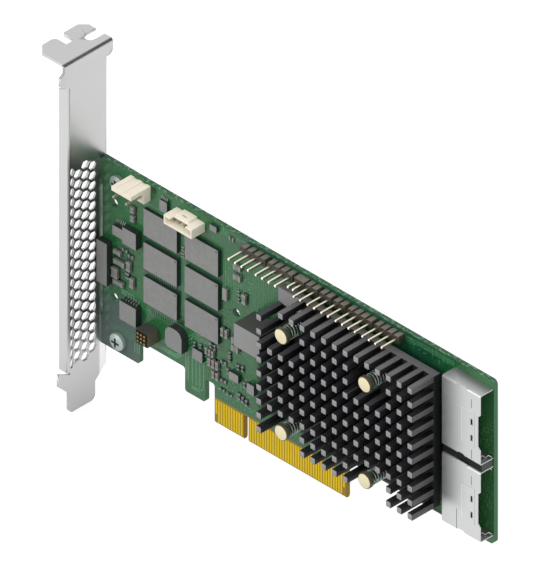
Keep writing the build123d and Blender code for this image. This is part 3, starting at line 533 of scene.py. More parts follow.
def sink_finish():
    """Dark anodising with painted light and shade: grey where the outermost fins catch the light, and
    near-black painted shade between the fins.
    """
    finish, net, shader = new_finish("dark_anodising_and_painted_shade")
    blend, times, step, less = net.blend, net.times, net.step, net.less
    across, depth, up = net.parts(net.spot())
    facing = net.facing()
    upward = step(facing["Z"], 0.4, 0.8)
    rightward = step(facing["X"], 0.4, 0.8)
    outward = step(times(facing["Y"], -1.0), 0.5, 0.8)
    base = step(depth, -0.0063, -0.0061)
    on_top = times(step(up, 0.0638, 0.0641), upward)
    on_end = times(step(across, 0.0792, 0.0795), rightward, net.minus(1.0, base))
    bare_corner = times(step(up, 0.0590, 0.0592), less(across, 0.0270), outward, base)
    # painted shade: the fins grow darker towards the base, away from their ends
    far = step(depth, -0.0135, -0.0065)
    shaded_fins = blend(far, (0.026, 0.025, 0.028), (0.009, 0.009, 0.0095))
    lit_fins = blend(far, (0.15, 0.148, 0.153), (0.11, 0.11, 0.112))
    # Fins with a pocket or the bare corner above them, whose tops are open to the light
    pockets = net.math(
        "ADD", net.math("COMPARE", across, 0.0269, 0.0065), net.math("COMPARE", across, 0.0599, 0.0065)
    )
    under_pockets = times(pockets, net.math("COMPARE", up, 0.0499, 0.0004))
    under_corner = times(less(across, 0.02), net.more(up, 0.049))
    open_top = times(net.math("ADD", under_pockets, under_corner, clamp=True), upward)
    shaded_fins = blend(open_top, shaded_fins, (0.07, 0.068, 0.076))
    base_end = times(rightward, step(across, 0.0786, 0.0789), base)
    shaded_fins = blend(base_end, shaded_fins, (0.021, 0.022, 0.022))
    shown = blend(net.math("MAXIMUM", on_top, on_end), shaded_fins, lit_fins)
    # painted light: the base's front face at the bare corner is lit grey
    shown = blend(bare_corner, shown, (0.27, 0.262, 0.272))
    values = grain(net, shown, 0.5, spread=0.1, stretch=(1, 0.15, 1), relief=0.000003)
    net.fill(shader, {**values, "Specular IOR Level": 0.15})
    return finish


def sheet(name, colour, roughness, metal, shade):
    """A finish with painted light and shade: its tone changes softly over its length, as given by a shade
    function.
    """
    finish, net, shader = new_finish(name)
    tone = shade(net, *net.parts(net.spot()), net.facing())
    tinted = net.vector("SCALE", colour, {"Scale": tone})
    values = grain(
        net, tinted, roughness, spread=0.03, grains=1500.0, stretch=(4, 4, 0.12), relief=0.0000004
    )
    net.fill(shader, {**values, "Metallic": metal})
    return finish


def bracket_shade(net, across, depth, up, facing):
    """The bracket's long face has painted light and shade: a dark painted reflection where it would mirror
    the board, painted shade that darkens it towards its tongue, and a painted highlight beside the board.
    """
    slanted = net.linear(depth, 0.83, up)
    # painted highlight where the bracket shows through the board's recess
    beside_board = net.times(net.step(depth, -0.0016, -0.0008), net.less(up, 0.0615))
    painted_reflection = net.times(
        net.fall(slanted, 0.0585, 0.0705), net.step(up, 0.003, 0.018),
        net.step(facing["X"], 0.5, 0.9), net.minus(1.0, beside_board), 0.66,
    )
    dark = net.linear(net.fall(up, -0.0175, 0.0075), 0.24, painted_reflection)
    dark = net.linear(net.fall(up, 0.0, 0.03), 0.07, dark)
    return net.minus(1.0, net.linear(beside_board, -0.5, dark))


def screw_shade(net, across, depth, up, facing):
    """Painted shade on the screws: dark inside their cross recess, and darker all over on the upper one."""
    aside = net.minus(across, SCREW_PLACE)
    shifted = net.minus(up, SCREW_LOW - SCREW_SPACING / 2)
    above = net.minus(net.math("MODULO", shifted, SCREW_SPACING), SCREW_SPACING / 2)
    squared = net.linear(aside, aside, net.times(above, above))
    recess_shade = net.times(net.less(squared, RECESS_REACH**2), net.step(depth, -0.0024, -0.0022))
    upper_shade = net.linear(net.step(up, 0.03, 0.04), -0.36, 1.0)
    return net.times(upper_shade, net.linear(recess_shade, -0.75, 1.0))


def shell_shade(net, across, depth, up, facing):
    """Painted shade on the shells: darker towards the heat sink above their bright foot, and on top by the
    board.
    """
    # painted shade on the shells' sides towards the heat sink, then on their top faces towards the board
    side = net.times(net.fall(across, 0.0795, 0.0935), net.step(up, 0.0227, 0.0268), 0.72)
    lid_shade = net.linear(net.step(depth, -0.006, -0.001), 0.42, 0.2)
    lid_shade = net.times(lid_shade, net.step(facing["Z"], 0.4, 0.8))
    return net.minus(1.0, net.math("MAXIMUM", side, lid_shade))


def nylon_shade(net, across, depth, up, facing):
    """Painted shade on the push pins: dark under their heads and cream again behind the board."""
    return net.linear(net.step(depth, -0.0012, 0.0002), 0.9, 0.1)


FINISHES = {
    "board": board_finish(),
    "trace": plain("mask_over_trace", (0.05, 0.215, 0.085), 0.3, spread=0.12, grains=2500.0),
    "bright_trace": plain("mask_over_pads", (0.15, 0.36, 0.21), 0.32, spread=0.25, grains=2500.0),
    # dark mask, also used for painted shade: patches round the small parts' feet and strips between the
    # memory chip rows
    "dark_mask_and_shade": plain("dark_mask_and_painted_shade", (0.006, 0.03, 0.014), 0.35, spread=0.2, grains=2500.0),
    "gold": plain("gold_plate", (0.63, 0.44, 0.006), 0.33, metal=1.0, spread=0.12, stretch=(1, 1, 0.08)),
    "pin_gold": plain("pale_gold_flash", (0.86, 0.81, 0.62), 0.3, metal=1.0, spread=0.08),
    "contact_brass": plain("worn_brass", (0.3, 0.22, 0.09), 0.4, metal=0.8, spread=0.2),
    "bracket": sheet("satin_nickel_sheet", (0.6, 0.6, 0.598), 0.36, 1.0, bracket_shade),
    "shell": sheet("tinned_shield", (0.66, 0.67, 0.67), 0.45, 0.6, shell_shade),
    # light metal lines: painted highlights on the latch plates' edges, and the springs across the mouths
    "shell_line": plain("shield_edge_and_painted_highlight", (0.86, 0.87, 0.87), 0.35, metal=0.5, spread=0.06),
    "screw": sheet("screw_plating", (0.46, 0.54, 0.51), 0.55, 0.45, screw_shade),
    "sink_side": sink_finish(),
    # painted light: the fins' outward ends are a lit grey copy of the dark anodised metal
    "sink_end": plain(
        "painted_lit_fin_end", (0.3, 0.292, 0.306), 0.42, spread=0.14, grains=5000.0, worn=(0.4, 0.4, 0.41),
        relief=0.00002,
    ),
    "cream_nylon": plain("cream_nylon", (0.93, 0.84, 0.55), 0.4, spread=0.05, grains=1200.0),
    "nylon_side": sheet("shaded_nylon", (0.88, 0.8, 0.5), 0.5, 0.0, nylon_shade),
    "spring": plain("spring_wire", (0.24, 0.31, 0.27), 0.38, metal=0.9, spread=0.12),
    "chip_top": plain(
        "ground_epoxy", (0.226, 0.225, 0.222), 0.5, spread=0.07, grains=6000.0, relief=0.000006,
        worn=(0.34, 0.34, 0.34), worn_amount=0.3,
    ),
    "chip_side": plain("dark_epoxy", (0.016, 0.026, 0.021), 0.5, spread=0.2, grains=6000.0),
    "choke_top": plain("pressed_iron_front", (0.27, 0.27, 0.268), 0.48, spread=0.1, grains=7000.0),
    # painted shade: the power choke's top faces, darker than its front
    "choke_painted_shade": plain("pressed_iron_painted_shade", (0.07, 0.07, 0.064), 0.45, grains=7000.0),
    "choke_side": plain("pressed_iron_side", (0.028, 0.034, 0.029), 0.42, spread=0.2, grains=7000.0),
    "cream": plain("cream_moulding", (0.93, 0.86, 0.71), 0.45, spread=0.04, grains=1500.0),
    # painted light and shade on the black headers: lighter tops, and dark olive fronts that stand in for the
    # pins' shadows
    "header": plain(
        "header_top_lit", (0.16, 0.148, 0.122), 0.5, spread=0.3, grains=2500.0, worn=(0.3, 0.28, 0.24),
        gloss=0.3,
    ),
    "header_front_shadow": plain(
        "header_front_shadow", (0.04, 0.036, 0.024), 0.5, spread=0.2, grains=3500.0, gloss=0.3
    ),
    "divider_end": plain("divider_end", (0.026, 0.05, 0.034), 0.5, spread=0.25, grains=2500.0),
    "black": plain("black_moulding", (0.006, 0.007, 0.007), 0.5, spread=0.2, gloss=0.15),
    # painted light: the black service socket's top and right faces are lighter copies of its black
    "service_top": plain("service_top", (0.062, 0.055, 0.056), 0.5),
    "service_side": plain("service_side", (0.12, 0.105, 0.07), 0.5, spread=0.25, grains=2000.0),
    "old_tin": plain("old_tin_plate", (0.36, 0.37, 0.25), 0.42, metal=0.3),
    "dull_tin": plain("dull_terminal", (0.27, 0.275, 0.26), 0.42, metal=0.3, spread=0.2, grains=6000.0),
    "leg": plain("dull_leg", (0.16, 0.19, 0.17), 0.42, metal=0.6, spread=0.2, grains=6000.0),
    "solder": plain("solder", (0.6, 0.6, 0.6), 0.28, metal=1.0, spread=0.18, relief=0.00003),
    "ceramic": plain("grey_ceramic", (0.2, 0.195, 0.175), 0.45, grains=5000.0),
    "resistor": plain("glazed_resistor", (0.03, 0.036, 0.034), 0.35, spread=0.2, grains=5000.0),
    "nickel": plain("nickel_lid", (0.6, 0.59, 0.56), 0.34, metal=1.0, spread=0.06),
    "crystal": plain("dull_can", (0.25, 0.255, 0.245), 0.4, metal=0.4, spread=0.12),
    "substrate": plain("green_carrier", (0.02, 0.14, 0.05), 0.3, spread=0.12),
    "thermal_pad": plain("soft_grey_pad", (0.38, 0.42, 0.46), 0.7, spread=0.1),
}


def clean_copy(name, flatten, angle, shortest):
    """The merged mesh of a CAD piece, with a bevel weight on each long enough sharp edge."""
    mesh = nodes[name].data.copy()
    mesh.materials.clear()
    work = bmesh.new()
    work.from_mesh(mesh)
    bmesh.ops.remove_doubles(work, verts=work.verts, dist=2e-6)
    if flatten:
        bmesh.ops.dissolve_limit(
            work, angle_limit=math.radians(0.6), verts=work.verts, edges=work.edges,
            use_dissolve_boundaries=False,
        )
    weight = work.edges.layers.float.new("bevel_weight_edge")
    for edge in work.edges:
        sharp = edge.is_manifold and edge.calc_face_angle() > math.radians(angle)
        edge[weight] = 1.0 if sharp and edge.calc_length() > shortest else 0.0
    work.to_mesh(mesh)
    work.free()
    return mesh


def add_object(name, data):
    """A new object at the origin, in the scene."""
    added = bpy.data.objects.new(name, data)
    bpy.context.scene.collection.objects.link(added)
    return added


def settle(piece):
    """Turn a piece's modifiers into its own plain mesh."""
    bpy.context.view_layer.update()
    graph = bpy.context.evaluated_depsgraph_get()
    mesh = bpy.data.meshes.new_from_object(
        piece.evaluated_get(graph), preserve_all_data_layers=True, depsgraph=graph
    )
    piece.modifiers.clear()
    piece.data = mesh


def attach(piece, slot, *replaced):
    """Fix a finished piece to the card, and hide the CAD pieces that it replaces. The slot is not used."""
    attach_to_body(piece, "root")
    if replaced:
        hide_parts(*replaced)


def eased(name, slot, width, finish, looks=(), angle=35.0, flatten=True, shortest=0.0):
    """Stand in for a CAD piece with a copy whose sharp edges are eased.

    Each look is a direction and the finish of the faces that look that way.
    """
    mesh = clean_copy(name, flatten, angle, shortest)
    mesh.shade_smooth()
    piece = add_object("finished_" + name, mesh)
    bevel = piece.modifiers.new("eased edges", "BEVEL")
    bevel.width = width / 1000
    bevel.segments = 2
    bevel.limit_method = "WEIGHT"
    bevel.miter_outer = "MITER_ARC"
    even = piece.modifiers.new("even shading", "WEIGHTED_NORMAL")
    even.weight = 80
    settle(piece)
    mesh = piece.data
    mesh.materials.append(FINISHES[finish])
    for index, (way, look) in enumerate(looks, start=1):
        mesh.materials.append(FINISHES[look])
        for face in mesh.polygons:
            if face.normal.dot(way) > 0.9:
                face.material_index = index
    attach(piece, slot, name)


def dress(name, finish):
    """Give a CAD piece its finish."""
    mesh = nodes[name].data
    mesh.materials.clear()
    mesh.materials.append(FINISHES[finish])


def points_mesh(name, spots, sizes=None):
    """A mesh of loose points, with an optional size for each as an attribute."""
    mesh = bpy.data.meshes.new(name + "_points")
    mesh.from_pydata([tuple(spot) for spot in spots], [], [])
    if sizes:
        attribute = mesh.attributes.new("part_size", "FLOAT_VECTOR", "POINT")
        for index, size in enumerate(sizes):
            attribute.data[index].vector = size
    return mesh


def grow(name, mesh, tree, slot, values, *replaced):
    """Run a geometry tree on a mesh with named values, and keep the result as a plain piece."""
    piece = add_object(name, mesh)
    modifier = piece.modifiers.new(tree.name, "NODES")
    modifier.node_group = tree
    for item in tree.interface.items_tree:
        if item.item_type == "SOCKET" and item.in_out == "INPUT" and item.name in values:
            value = values[item.name]
            modifier[item.identifier] = FINISHES[value] if item.socket_type == FINISH else value
    settle(piece)
    work = bmesh.new()
    work.from_mesh(piece.data)
    bmesh.ops.remove_doubles(work, verts=work.verts, dist=1e-7)
    bmesh.ops.recalc_face_normals(work, faces=work.faces)
    work.to_mesh(piece.data)
    work.free()
    piece.data.shade_smooth()
    piece.data.set_sharp_from_angle(angle=math.radians(40))
    attach(piece, slot, *replaced)


def grow_on(name, places, height, tree, slot, values, *replaced):
    """Run a geometry tree on places at one height above the component face."""
    mesh = points_mesh(name, [place(x, z, height) for x, z in places])
    grow(name, mesh, tree, slot, values, *replaced)


@shape_tree({"Width": 0.002, "Height": 0.002, "Length": 0.01, "Corner": 0.0002, "Tip": 0.0002})
def eased_post(net, given):
    """A four-sided post that stands out of the card, with rounded corners and a chamfered tip."""
    outline = net.rounded(net.oblong(given["Width"], given["Height"]), given["Corner"])
    base = net.out("GeometryNodeFillCurve", {"Curve": outline}, mode="NGONS")
    body = net.raised(base, net.minus(given["Length"], given["Tip"]))
    tip = net.raised(body["Mesh"], given["Tip"], Selection=body["Top"])
    share = net.math("DIVIDE", net.times(given["Tip"], 2.0), given["Width"])
    narrowed = net.out("GeometryNodeScaleElements", {
        "Geometry": tip["Mesh"], "Selection": tip["Top"], "Scale": net.minus(1.0, share),
    }, domain="FACE")
    whole = net.merged(narrowed, net.out("GeometryNodeFlipFaces", {0: base}))
    return net.stood(whole)


def post(net, width, height, length, corner, tip):
    """One use of the post group."""
    values = {"Width": width, "Height": height, "Length": length, "Corner": corner, "Tip": tip}
    return net.group(eased_post, values)[0]


@shape_tree({
    "Columns": 15, "Rows": 10, "Column Pitch": 0.00427, "Row Pitch": 0.00479, "Fin Width": 0.002,
    "Fin Height": 0.0021, "Fin Length": 0.0087, "Fin Corner": 0.0003, "Fin Tip": 0.00012,
    "Base Thickness": 0.0024, "Centre": (0, 0, 0), "Pocket Half Width": 0.0064,
    "Pocket Half Height": 0.005, "End Finish": FINISH, "Side Finish": FINISH,
})
def fin_field(net, given):
    """A heat sink: a base with a grid of fins, left out in a pocket round each given point."""
    across = net.times(net.minus(given["Columns"], 1.0), given["Column Pitch"])
    up = net.times(net.minus(given["Rows"], 1.0), given["Row Pitch"])
    grid = net.out("GeometryNodeMeshGrid", {
        "Size X": across, "Size Y": up, "Vertices X": given["Columns"], "Vertices Y": given["Rows"],
    })
    nearest = net.add("GeometryNodeProximity", {0: given["Geometry"]}, target_element="POINTS")
    spot = net.out("GeometryNodeInputPosition")
    gap = net.vector("SUBTRACT", spot, {1: nearest.outputs["Position"]})
    gap = net.parts(net.vector("ABSOLUTE", gap, {}))
    pocket = net.times(
        net.less(gap["X"], given["Pocket Half Width"]), net.less(gap["Z"], given["Pocket Half Height"])
    )
    kept = net.out("GeometryNodeDeleteGeometry", {
        "Geometry": net.stood(grid, shift=given["Centre"]), "Selection": pocket,
    }, domain="POINT")
    fins = net.on_points(kept, post(
        net, given["Fin Width"], given["Fin Height"], given["Fin Length"], given["Fin Corner"],
        given["Fin Tip"],
    ))
    base = post(
        net, net.math("ADD", across, given["Fin Width"]), net.math("ADD", up, given["Fin Height"]),
        given["Base Thickness"], 0.0002, 0.0001,
    )
    shift = net.vector("ADD", given["Centre"], {1: net.combine(y=given["Base Thickness"])})
    whole = net.real(net.joined(fins, net.moved(base, shift)))
    facing = net.parts(net.out("GeometryNodeInputNormal"))
    outward = net.more(net.math("ABSOLUTE", facing["Y"]), 0.9)
    far_out = net.less(net.parts(spot)["Y"], net.minus(net.parts(given["Centre"])["Y"], 0.005))
    sides = net.painted(whole, given["Side Finish"])
    return net.painted(sides, given["End Finish"], Selection=net.times(outward, far_out))


@shape_tree({
    "Turns": 5.0, "Radius": 0.00205, "Wire Radius": 0.00025, "Height": 0.0063, "Finish": FINISH,
})
def coil_springs(net, given):
    """A round wire spring at each given point, standing out of the card."""
    line = net.out("GeometryNodeCurveSpiral", {
        "Resolution": 28, "Rotations": given["Turns"], "Start Radius": given["Radius"],
        "End Radius": given["Radius"], "Height": given["Height"],
    })
    coil = net.stood(net.swept(line, net.circle(8, given["Wire Radius"]), True))
    return net.finished(net.on_points(given["Geometry"], coil), given["Finish"])


@shape_tree({
    "Sides": 32, "Radius": 0.00255, "Height": 0.0013, "Rim": 0.0003, "Front Finish": FINISH,
    "Side Finish": FINISH,
})
def turned_heads(net, given):
    """A round head with an eased rim, standing out of the card from each given point."""

    def disc(radius):
        inputs = {"Vertices": given["Sides"], "Radius": radius}
        return net.out("GeometryNodeMeshCircle", inputs, fill_type="NGON")

    # Each band's inset and drop at its lower end, then at its upper end, in shares of the rim
    bands = []
    for inset_low, drop_low, inset_high, drop_high in (
        (0.0, 0.0, 0.0, 1.0), (0.0, 1.0, 0.3, 0.3), (0.3, 0.3, 1.0, 0.0),
    ):
        low = net.linear(given["Rim"], -drop_low, given["Height"]) if bands else 0.0
        high = net.linear(given["Rim"], -drop_high, given["Height"])
        band = net.out("GeometryNodeMeshCone", {
            "Vertices": given["Sides"], "Side Segments": 1,
            "Radius Bottom": net.linear(given["Rim"], -inset_low, given["Radius"]),
            "Radius Top": net.linear(given["Rim"], -inset_high, given["Radius"]),
            "Depth": net.minus(high, low),
        }, fill_type="NONE")
        bands.append(net.moved(band, net.combine(z=low)))
    sides = net.painted(net.joined(disc(given["Radius"]), *bands), given["Side Finish"])
    front = disc(net.minus(given["Radius"], given["Rim"]))
    front = net.painted(net.moved(front, net.combine(z=given["Height"])), given["Front Finish"])
    head = net.stood(net.merged(sides, front))
    return net.real(net.on_points(given["Geometry"], head))


@shape_tree({"Pin Width": 0.00064, "Pin Length": 0.0112, "Tip": 0.00018, "Finish": FINISH})
def pin_rows(net, given):
    """A square pin with chamfered ends at each given point, which is the pin's tail."""
    width = given["Pin Width"]
    pin = post(net, width, width, given["Pin Length"], 0.00006, given["Tip"])
    return net.finished(net.on_points(given["Geometry"], pin), given["Finish"])


@shape_tree({"Cap Share": 0.24, "Body Finish": FINISH, "Cap Finish": FINISH})
def chip_parts(net, given):
    """A two-ended surface part at each given point: a body with a tinned cap on each end."""
    size = net.part_size()
    level = net.more(size["X"], size["Z"])
    scale = net.combine(
        net.math("MAXIMUM", size["X"], size["Z"]), size["Y"], net.math("MINIMUM", size["X"], size["Z"])
    )
    turn = net.combine(y=net.times(net.minus(1.0, level), QUARTER_TURN))
    body = net.painted(post(net, 0.94, 0.92, 0.96, 0.03, 0.05), given["Body Finish"])
    cap = post(net, given["Cap Share"], 1.0, 1.0, 0.04, 0.02)
    from_end = net.minus(1.0, given["Cap Share"])
    caps = [net.moved(cap, net.combine(net.times(from_end, side))) for side in (-0.5, 0.5)]
    caps = net.painted(net.joined(*caps), given["Cap Finish"])
    shape = net.joined(body, caps)
    placed = net.on_points(given["Geometry"], shape, Rotation=turn, Scale=scale)
    return net.real(placed)


@shape_tree({"Margin": 0.0006, "Rise": 0.00003, "Finish": FINISH})
def footprints(net, given):
    """A painted shadow round the foot of each part: a thin dark patch as big as the part and a margin."""
    size = net.part_size()
    wide, high = (net.math("ADD", size[way], given["Margin"]) for way in "XZ")
    patch = net.out("GeometryNodeMeshCube", {"Size": (1.0, 1.0, 1.0)})
    patches = net.on_points(given["Geometry"], patch, Scale=net.combine(wide, given["Rise"], high))
    return net.finished(patches, given["Finish"])


@shape_tree({"Radius": 0.0003, "Rim": 0.00012, "Rise": 0.00003, "Sides": 12, "Finish": FINISH})
def flat_rings(net, given):
    """A thin raised ring flush with the board at each given point, such as a plated hole."""
    ring = net.ring(given["Sides"], given["Radius"], given["Rim"], given["Rise"])
    return net.finished(net.on_points(given["Geometry"], ring), given["Finish"])


@shape_tree({"Foot Radius": 0.0008, "Top Radius": 0.0004, "Height": 0.0007, "Finish": FINISH})
def solder_cones(net, given):
    """A solder fillet round each given pin, on the solder side."""
    cone = net.out("GeometryNodeMeshCone", {
        "Vertices": 14, "Side Segments": 1, "Radius Top": given["Top Radius"],
        "Radius Bottom": given["Foot Radius"], "Depth": given["Height"],
    })
    cones = net.on_points(given["Geometry"], net.stood(cone, -QUARTER_TURN))
    return net.finished(cones, given["Finish"])


@shape_tree({
    "Width": 0.00022, "Thickness": 0.00005, "Corner": 0.0004, "Facing": (0, -1, 0), "Finish": FINISH,
})
def trace_ribbons(net, given):
    """A low ribbon along each given line of edges, with its corners eased."""
    line = net.rounded(net.out("GeometryNodeMeshToCurve", {0: given["Geometry"]}), given["Corner"])
    level = net.out("GeometryNodeSetCurveNormal", {0: line, "Normal": given["Facing"]}, mode="FREE")
    ribbon = net.swept(level, net.oblong(given["Thickness"], given["Width"]), True)
    return net.finished(ribbon, given["Finish"])


@shape_tree({"Spacing": 0.0016, "Density": 90000.0, "Seed": 4, "Radius": 0.0002, "Finish": FINISH})
def via_field(net, given):
    """Vias scattered over the given faces."""
    ring = net.ring(8, given["Radius"], 0.00016, 0.00004)
    return net.finished(net.on_points(net.scattered(given), ring), given["Finish"])


@shape_tree({
    "Spacing": 0.0007, "Density": 600000.0, "Seed": 7, "Longest": 0.0014, "Width": 0.00016,
    "Finish": FINISH,
})
def dash_field(net, given):
    """Short straight tracks scattered over the given faces, along the board or up it."""
    size = net.combine(given["Longest"], 0.00003, given["Width"])
    dash = net.out("GeometryNodeMeshCube", {"Size": size})
    seed = given["Seed"]
    upright = net.add("FunctionNodeRandomValue", {"Probability": 0.45, "Seed": seed}, data_type="BOOLEAN")
    share = net.add("FunctionNodeRandomValue", {2: 0.3, 3: 1.0, "Seed": seed}, data_type="FLOAT")
    dashes = net.on_points(
        net.scattered(given), dash,
        Rotation=net.combine(y=net.times(upright.outputs[3], QUARTER_TURN)),
        Scale=net.combine(share.outputs[1], 1.0, 1.0),
    )
    return net.finished(dashes, given["Finish"])


def cards_and_chips():
    """The board, its contacts, the bracket, chips, headers and sockets."""
    dress("printed_circuit_board", "board")
    dress("edge_contacts_component_side", "gold")
    dress("edge_contacts_solder_side", "gold")
    eased("mounting_bracket", "bracket", 0.1, "bracket", angle=60, flatten=False, shortest=0.0021)
    eased("bracket_screws", "screw", 0.12, "screw", angle=30)
    for name in CHIPS:
        eased(name, "chip", 0.12, "chip_side", [(FRONT, "chip_top")])
    # the headers' dark fronts are painted shadow of the pins, their tops painted light
    header = ("black_plastic", 0.1, "header_front_shadow", (TOP, "header"))
    for name, slot, width, finish, *looks in (
        # the power choke's top faces get painted shade
        ("power_choke", "ferrite", 0.2, "choke_side", (FRONT, "choke_top"), (TOP, "choke_painted_shade")),
        ("buzzer", "black_plastic", 0.12, "choke_side", (FRONT, "chip_top")),
        ("left_coil", "ferrite", 0.12, "choke_side", (FRONT, "choke_top")),
        ("right_coil", "ferrite", 0.12, "choke_side", (FRONT, "choke_top")),
        ("crystal", "nickel", 0.15, "crystal"),
        ("buffer_chip_legs", "tin", 0.05, "leg"),
        *((f"pin_header_{number}", *header) for number in range(1, len(HEADERS) + 1)),
        ("jumper_header", *header),
        ("fan_header", "cream_plastic", 0.12, "cream"),
        ("cable_header", "cream_plastic", 0.1, "cream"),
        # the service socket's top and right faces get painted light
        ("service_socket", "chip", 0.1, "black", (TOP, "service_top"), (RIGHT, "service_side")),
    ):
        eased(name, slot, width, finish, looks)
    dress("service_socket_contacts", "contact_brass")
    for level in ("lower", "upper"):
        eased(level + "_socket_shell", "shell", 0.08, "shell", angle=50)
        dress(level + "_socket_housing", "black")
        dress(level + "_socket_contacts", "gold")
    eased("socket_divider", "black_plastic", 0.08, "black", [(RIGHT, "divider_end")])


def push_pin_shafts():
    """The push pins without their heads, which the scene turns rounder."""
    mesh = clean_copy("push_pins", True, 30.0, 0.0)
    work = bmesh.new()
    work.from_mesh(mesh)
    whole = work.verts[:] + work.edges[:] + work.faces[:]
    cut = bmesh.ops.bisect_plane(
        work, geom=whole, plane_co=place(0, 0, PUSH_PIN_BACK), plane_no=(0, -1, 0), clear_outer=True
    )
    rims = [part for part in cut["geom_cut"] if isinstance(part, bmesh.types.BMEdge)]
    bmesh.ops.holes_fill(work, edges=rims)
    work.to_mesh(mesh)
    work.free()
    mesh.materials.append(FINISHES["nylon_side"])
    attach(add_object("push_pin_shafts", mesh), "push_pin", "push_pins")


def cooling():
    """The heat sink, its springs and push pins, and the parts under it."""
    centre = place(SINK_LEFT + SINK_WIDTH / 2, SINK_LOW + SINK_HEIGHT / 2, SINK_FRONT)
    grow_on("finished_heat_sink", (*PUSH_PINS, BARE_CORNER), SINK_FRONT, fin_field, "heat_sink", {
        "Centre": centre, "End Finish": "sink_end", "Side Finish": "sink_side",
    }, "heat_sink")
    grow_on("finished_springs", PUSH_PINS, SINK_FRONT + SPRING_LIFT, coil_springs, "spring", {
        "Turns": 6.0, "Height": 0.0062, "Finish": "spring",
    }, "push_pin_springs")
    push_pin_shafts()
    # the heads' sides take the shafts' painted shade, their fronts stay lit cream
    grow_on("push_pin_heads", PUSH_PINS, PUSH_PIN_BACK, turned_heads, "push_pin", {
        "Front Finish": "cream_nylon", "Side Finish": "nylon_side",
    })
    dress("processor_substrate", "substrate")
    dress("processor_lid", "nickel")
    dress("thermal_pad", "thermal_pad")


def pins():
    """Header pins, and their solder on the far side."""
    rows = [(start + index * HEADER_PITCH, HEADER_ROW) for start, count in HEADERS for index in range(count)]
    jumper = [(x, HEADER_ROW) for x in JUMPER_PINS]
    fan = [(x, FAN_PIN_ROW) for x in FAN_PINS]
    cable = [(x, CABLE_PIN_ROW) for x in CABLE_PINS]
    for name, spots, slot, width, length, finish, *replaced in (
        ("header", rows, "gold", 0.00064, 0.01127, "pin_gold", "header_pins"),
        ("jumper", jumper, "gold", 0.00064, 0.00907, "pin_gold"),
        ("fan", fan, "tin", 0.00064, 0.01147, "old_tin", "fan_header_pins"),
        ("cable", cable, "tin", 0.0005, 0.00717, "old_tin", "cable_header_pins"),
    ):
        grow_on("finished_" + name + "_pins", spots, PIN_TAIL, pin_rows, slot, {
            "Pin Width": width, "Pin Length": length, "Finish": finish,
        }, *replaced)
    every = rows + jumper + fan + cable
    grow_on("pin_solder", every, SOLDER_FACE, solder_cones, "tin", {"Finish": "solder"})


def islands(mesh):
    """The lowest and highest corners of each separate part of a mesh."""
    work = bmesh.new()
    work.from_mesh(mesh)
    bmesh.ops.remove_doubles(work, verts=work.verts, dist=1e-6)
    found, boxes = set(), []
    for start in work.verts:
        if start in found:
            continue
        island, queue = [], [start]
        found.add(start)
        while queue:
            vertex = queue.pop()
            island.append(vertex.co)
            for edge in vertex.link_edges:
                other = edge.other_vert(vertex)
                if other not in found:
                    found.add(other)
                    queue.append(other)
        boxes.append([[pick(spot[axis] for spot in island) for axis in range(3)] for pick in (min, max)])
    work.free()
    return boxes


def small_parts():
    """Capacitors and resistors with tinned ends, in the place of their plain blocks."""
    for name, finish, margin in (
        ("ceramic_capacitors", "ceramic", 0.0012),
        ("chip_resistors", "resistor", 0.0008),
        ("decoupling_capacitors", "ceramic", None),
    ):
        spots, sizes = [], []
        for low, high in islands(nodes[name].data):
            foot, thickness = high[1], high[1] - low[1]
            if margin is None:
                foot, thickness = low[1], -thickness
            spots.append(((low[0] + high[0]) / 2, foot, (low[2] + high[2]) / 2))
            sizes.append((high[0] - low[0], thickness, high[2] - low[2]))
        values = {"Body Finish": finish, "Cap Finish": "dull_tin"}
        grow("finished_" + name, points_mesh(name, spots, sizes), chip_parts, finish, values, name)
        # a thin dark patch round most parts is their painted shadow
        if margin is not None:
            values = {"Margin": margin, "Finish": "dark_mask_and_shade"}
            grow(name + "_footprints", points_mesh(name, spots, sizes), footprints, "board", values)


def fan_lines(first, last, count):
    """Lines spread evenly between a first and a last line."""
    lines = []
    for index in range(count):
        share = index / max(count - 1, 1)
        lines.append([
            (a[0] + (b[0] - a[0]) * share, a[1] + (b[1] - a[1]) * share) for a, b in zip(first, last)
        ])
    return lines


def line_strips(name, lines, slot, values):
    """Thin strips along lines of places on the card."""
    spots, edges = [], []
    for line in lines:
        start = len(spots)
        spots += [tuple(place(*spot)) for spot in line]
        edges += [(start + index, start + index + 1) for index in range(len(line) - 1)]
    mesh = bpy.data.meshes.new(name + "_lines")
    mesh.from_pydata(spots, edges, [])
    grow(name, mesh, trace_ribbons, slot, values)


def traces():
    """Copper tracks under the mask, on both faces."""
    for name, fans, height, finish in (
        ("front_traces", FRONT_FANS, 0.0, "trace"),
        ("bright_traces", BRIGHT_FANS, 0.0, "bright_trace"),
        ("back_traces", BACK_FANS, SOLDER_FACE, "trace"),
    ):
        lines = [[(x, z, height) for x, z in line] for fan in fans for line in fan_lines(*fan)]
        line_strips(name, lines, "board", {"Finish": finish})


def grow_over(name, areas, height, tree, values):
    """Run a geometry tree on flat faces over some oblong parts of the board."""
    spots, faces = [], []
    for (left, low), (right, high) in areas:
        start = len(spots)
        corners = ((left, low), (right, low), (right, high), (left, high))
        spots += [tuple(place(x, z, height)) for x, z in corners]
        faces.append(tuple(range(start, start + 4)))
    mesh = bpy.data.meshes.new(name + "_areas")
    mesh.from_pydata(spots, [], faces)
    grow(name, mesh, tree, "board", values)


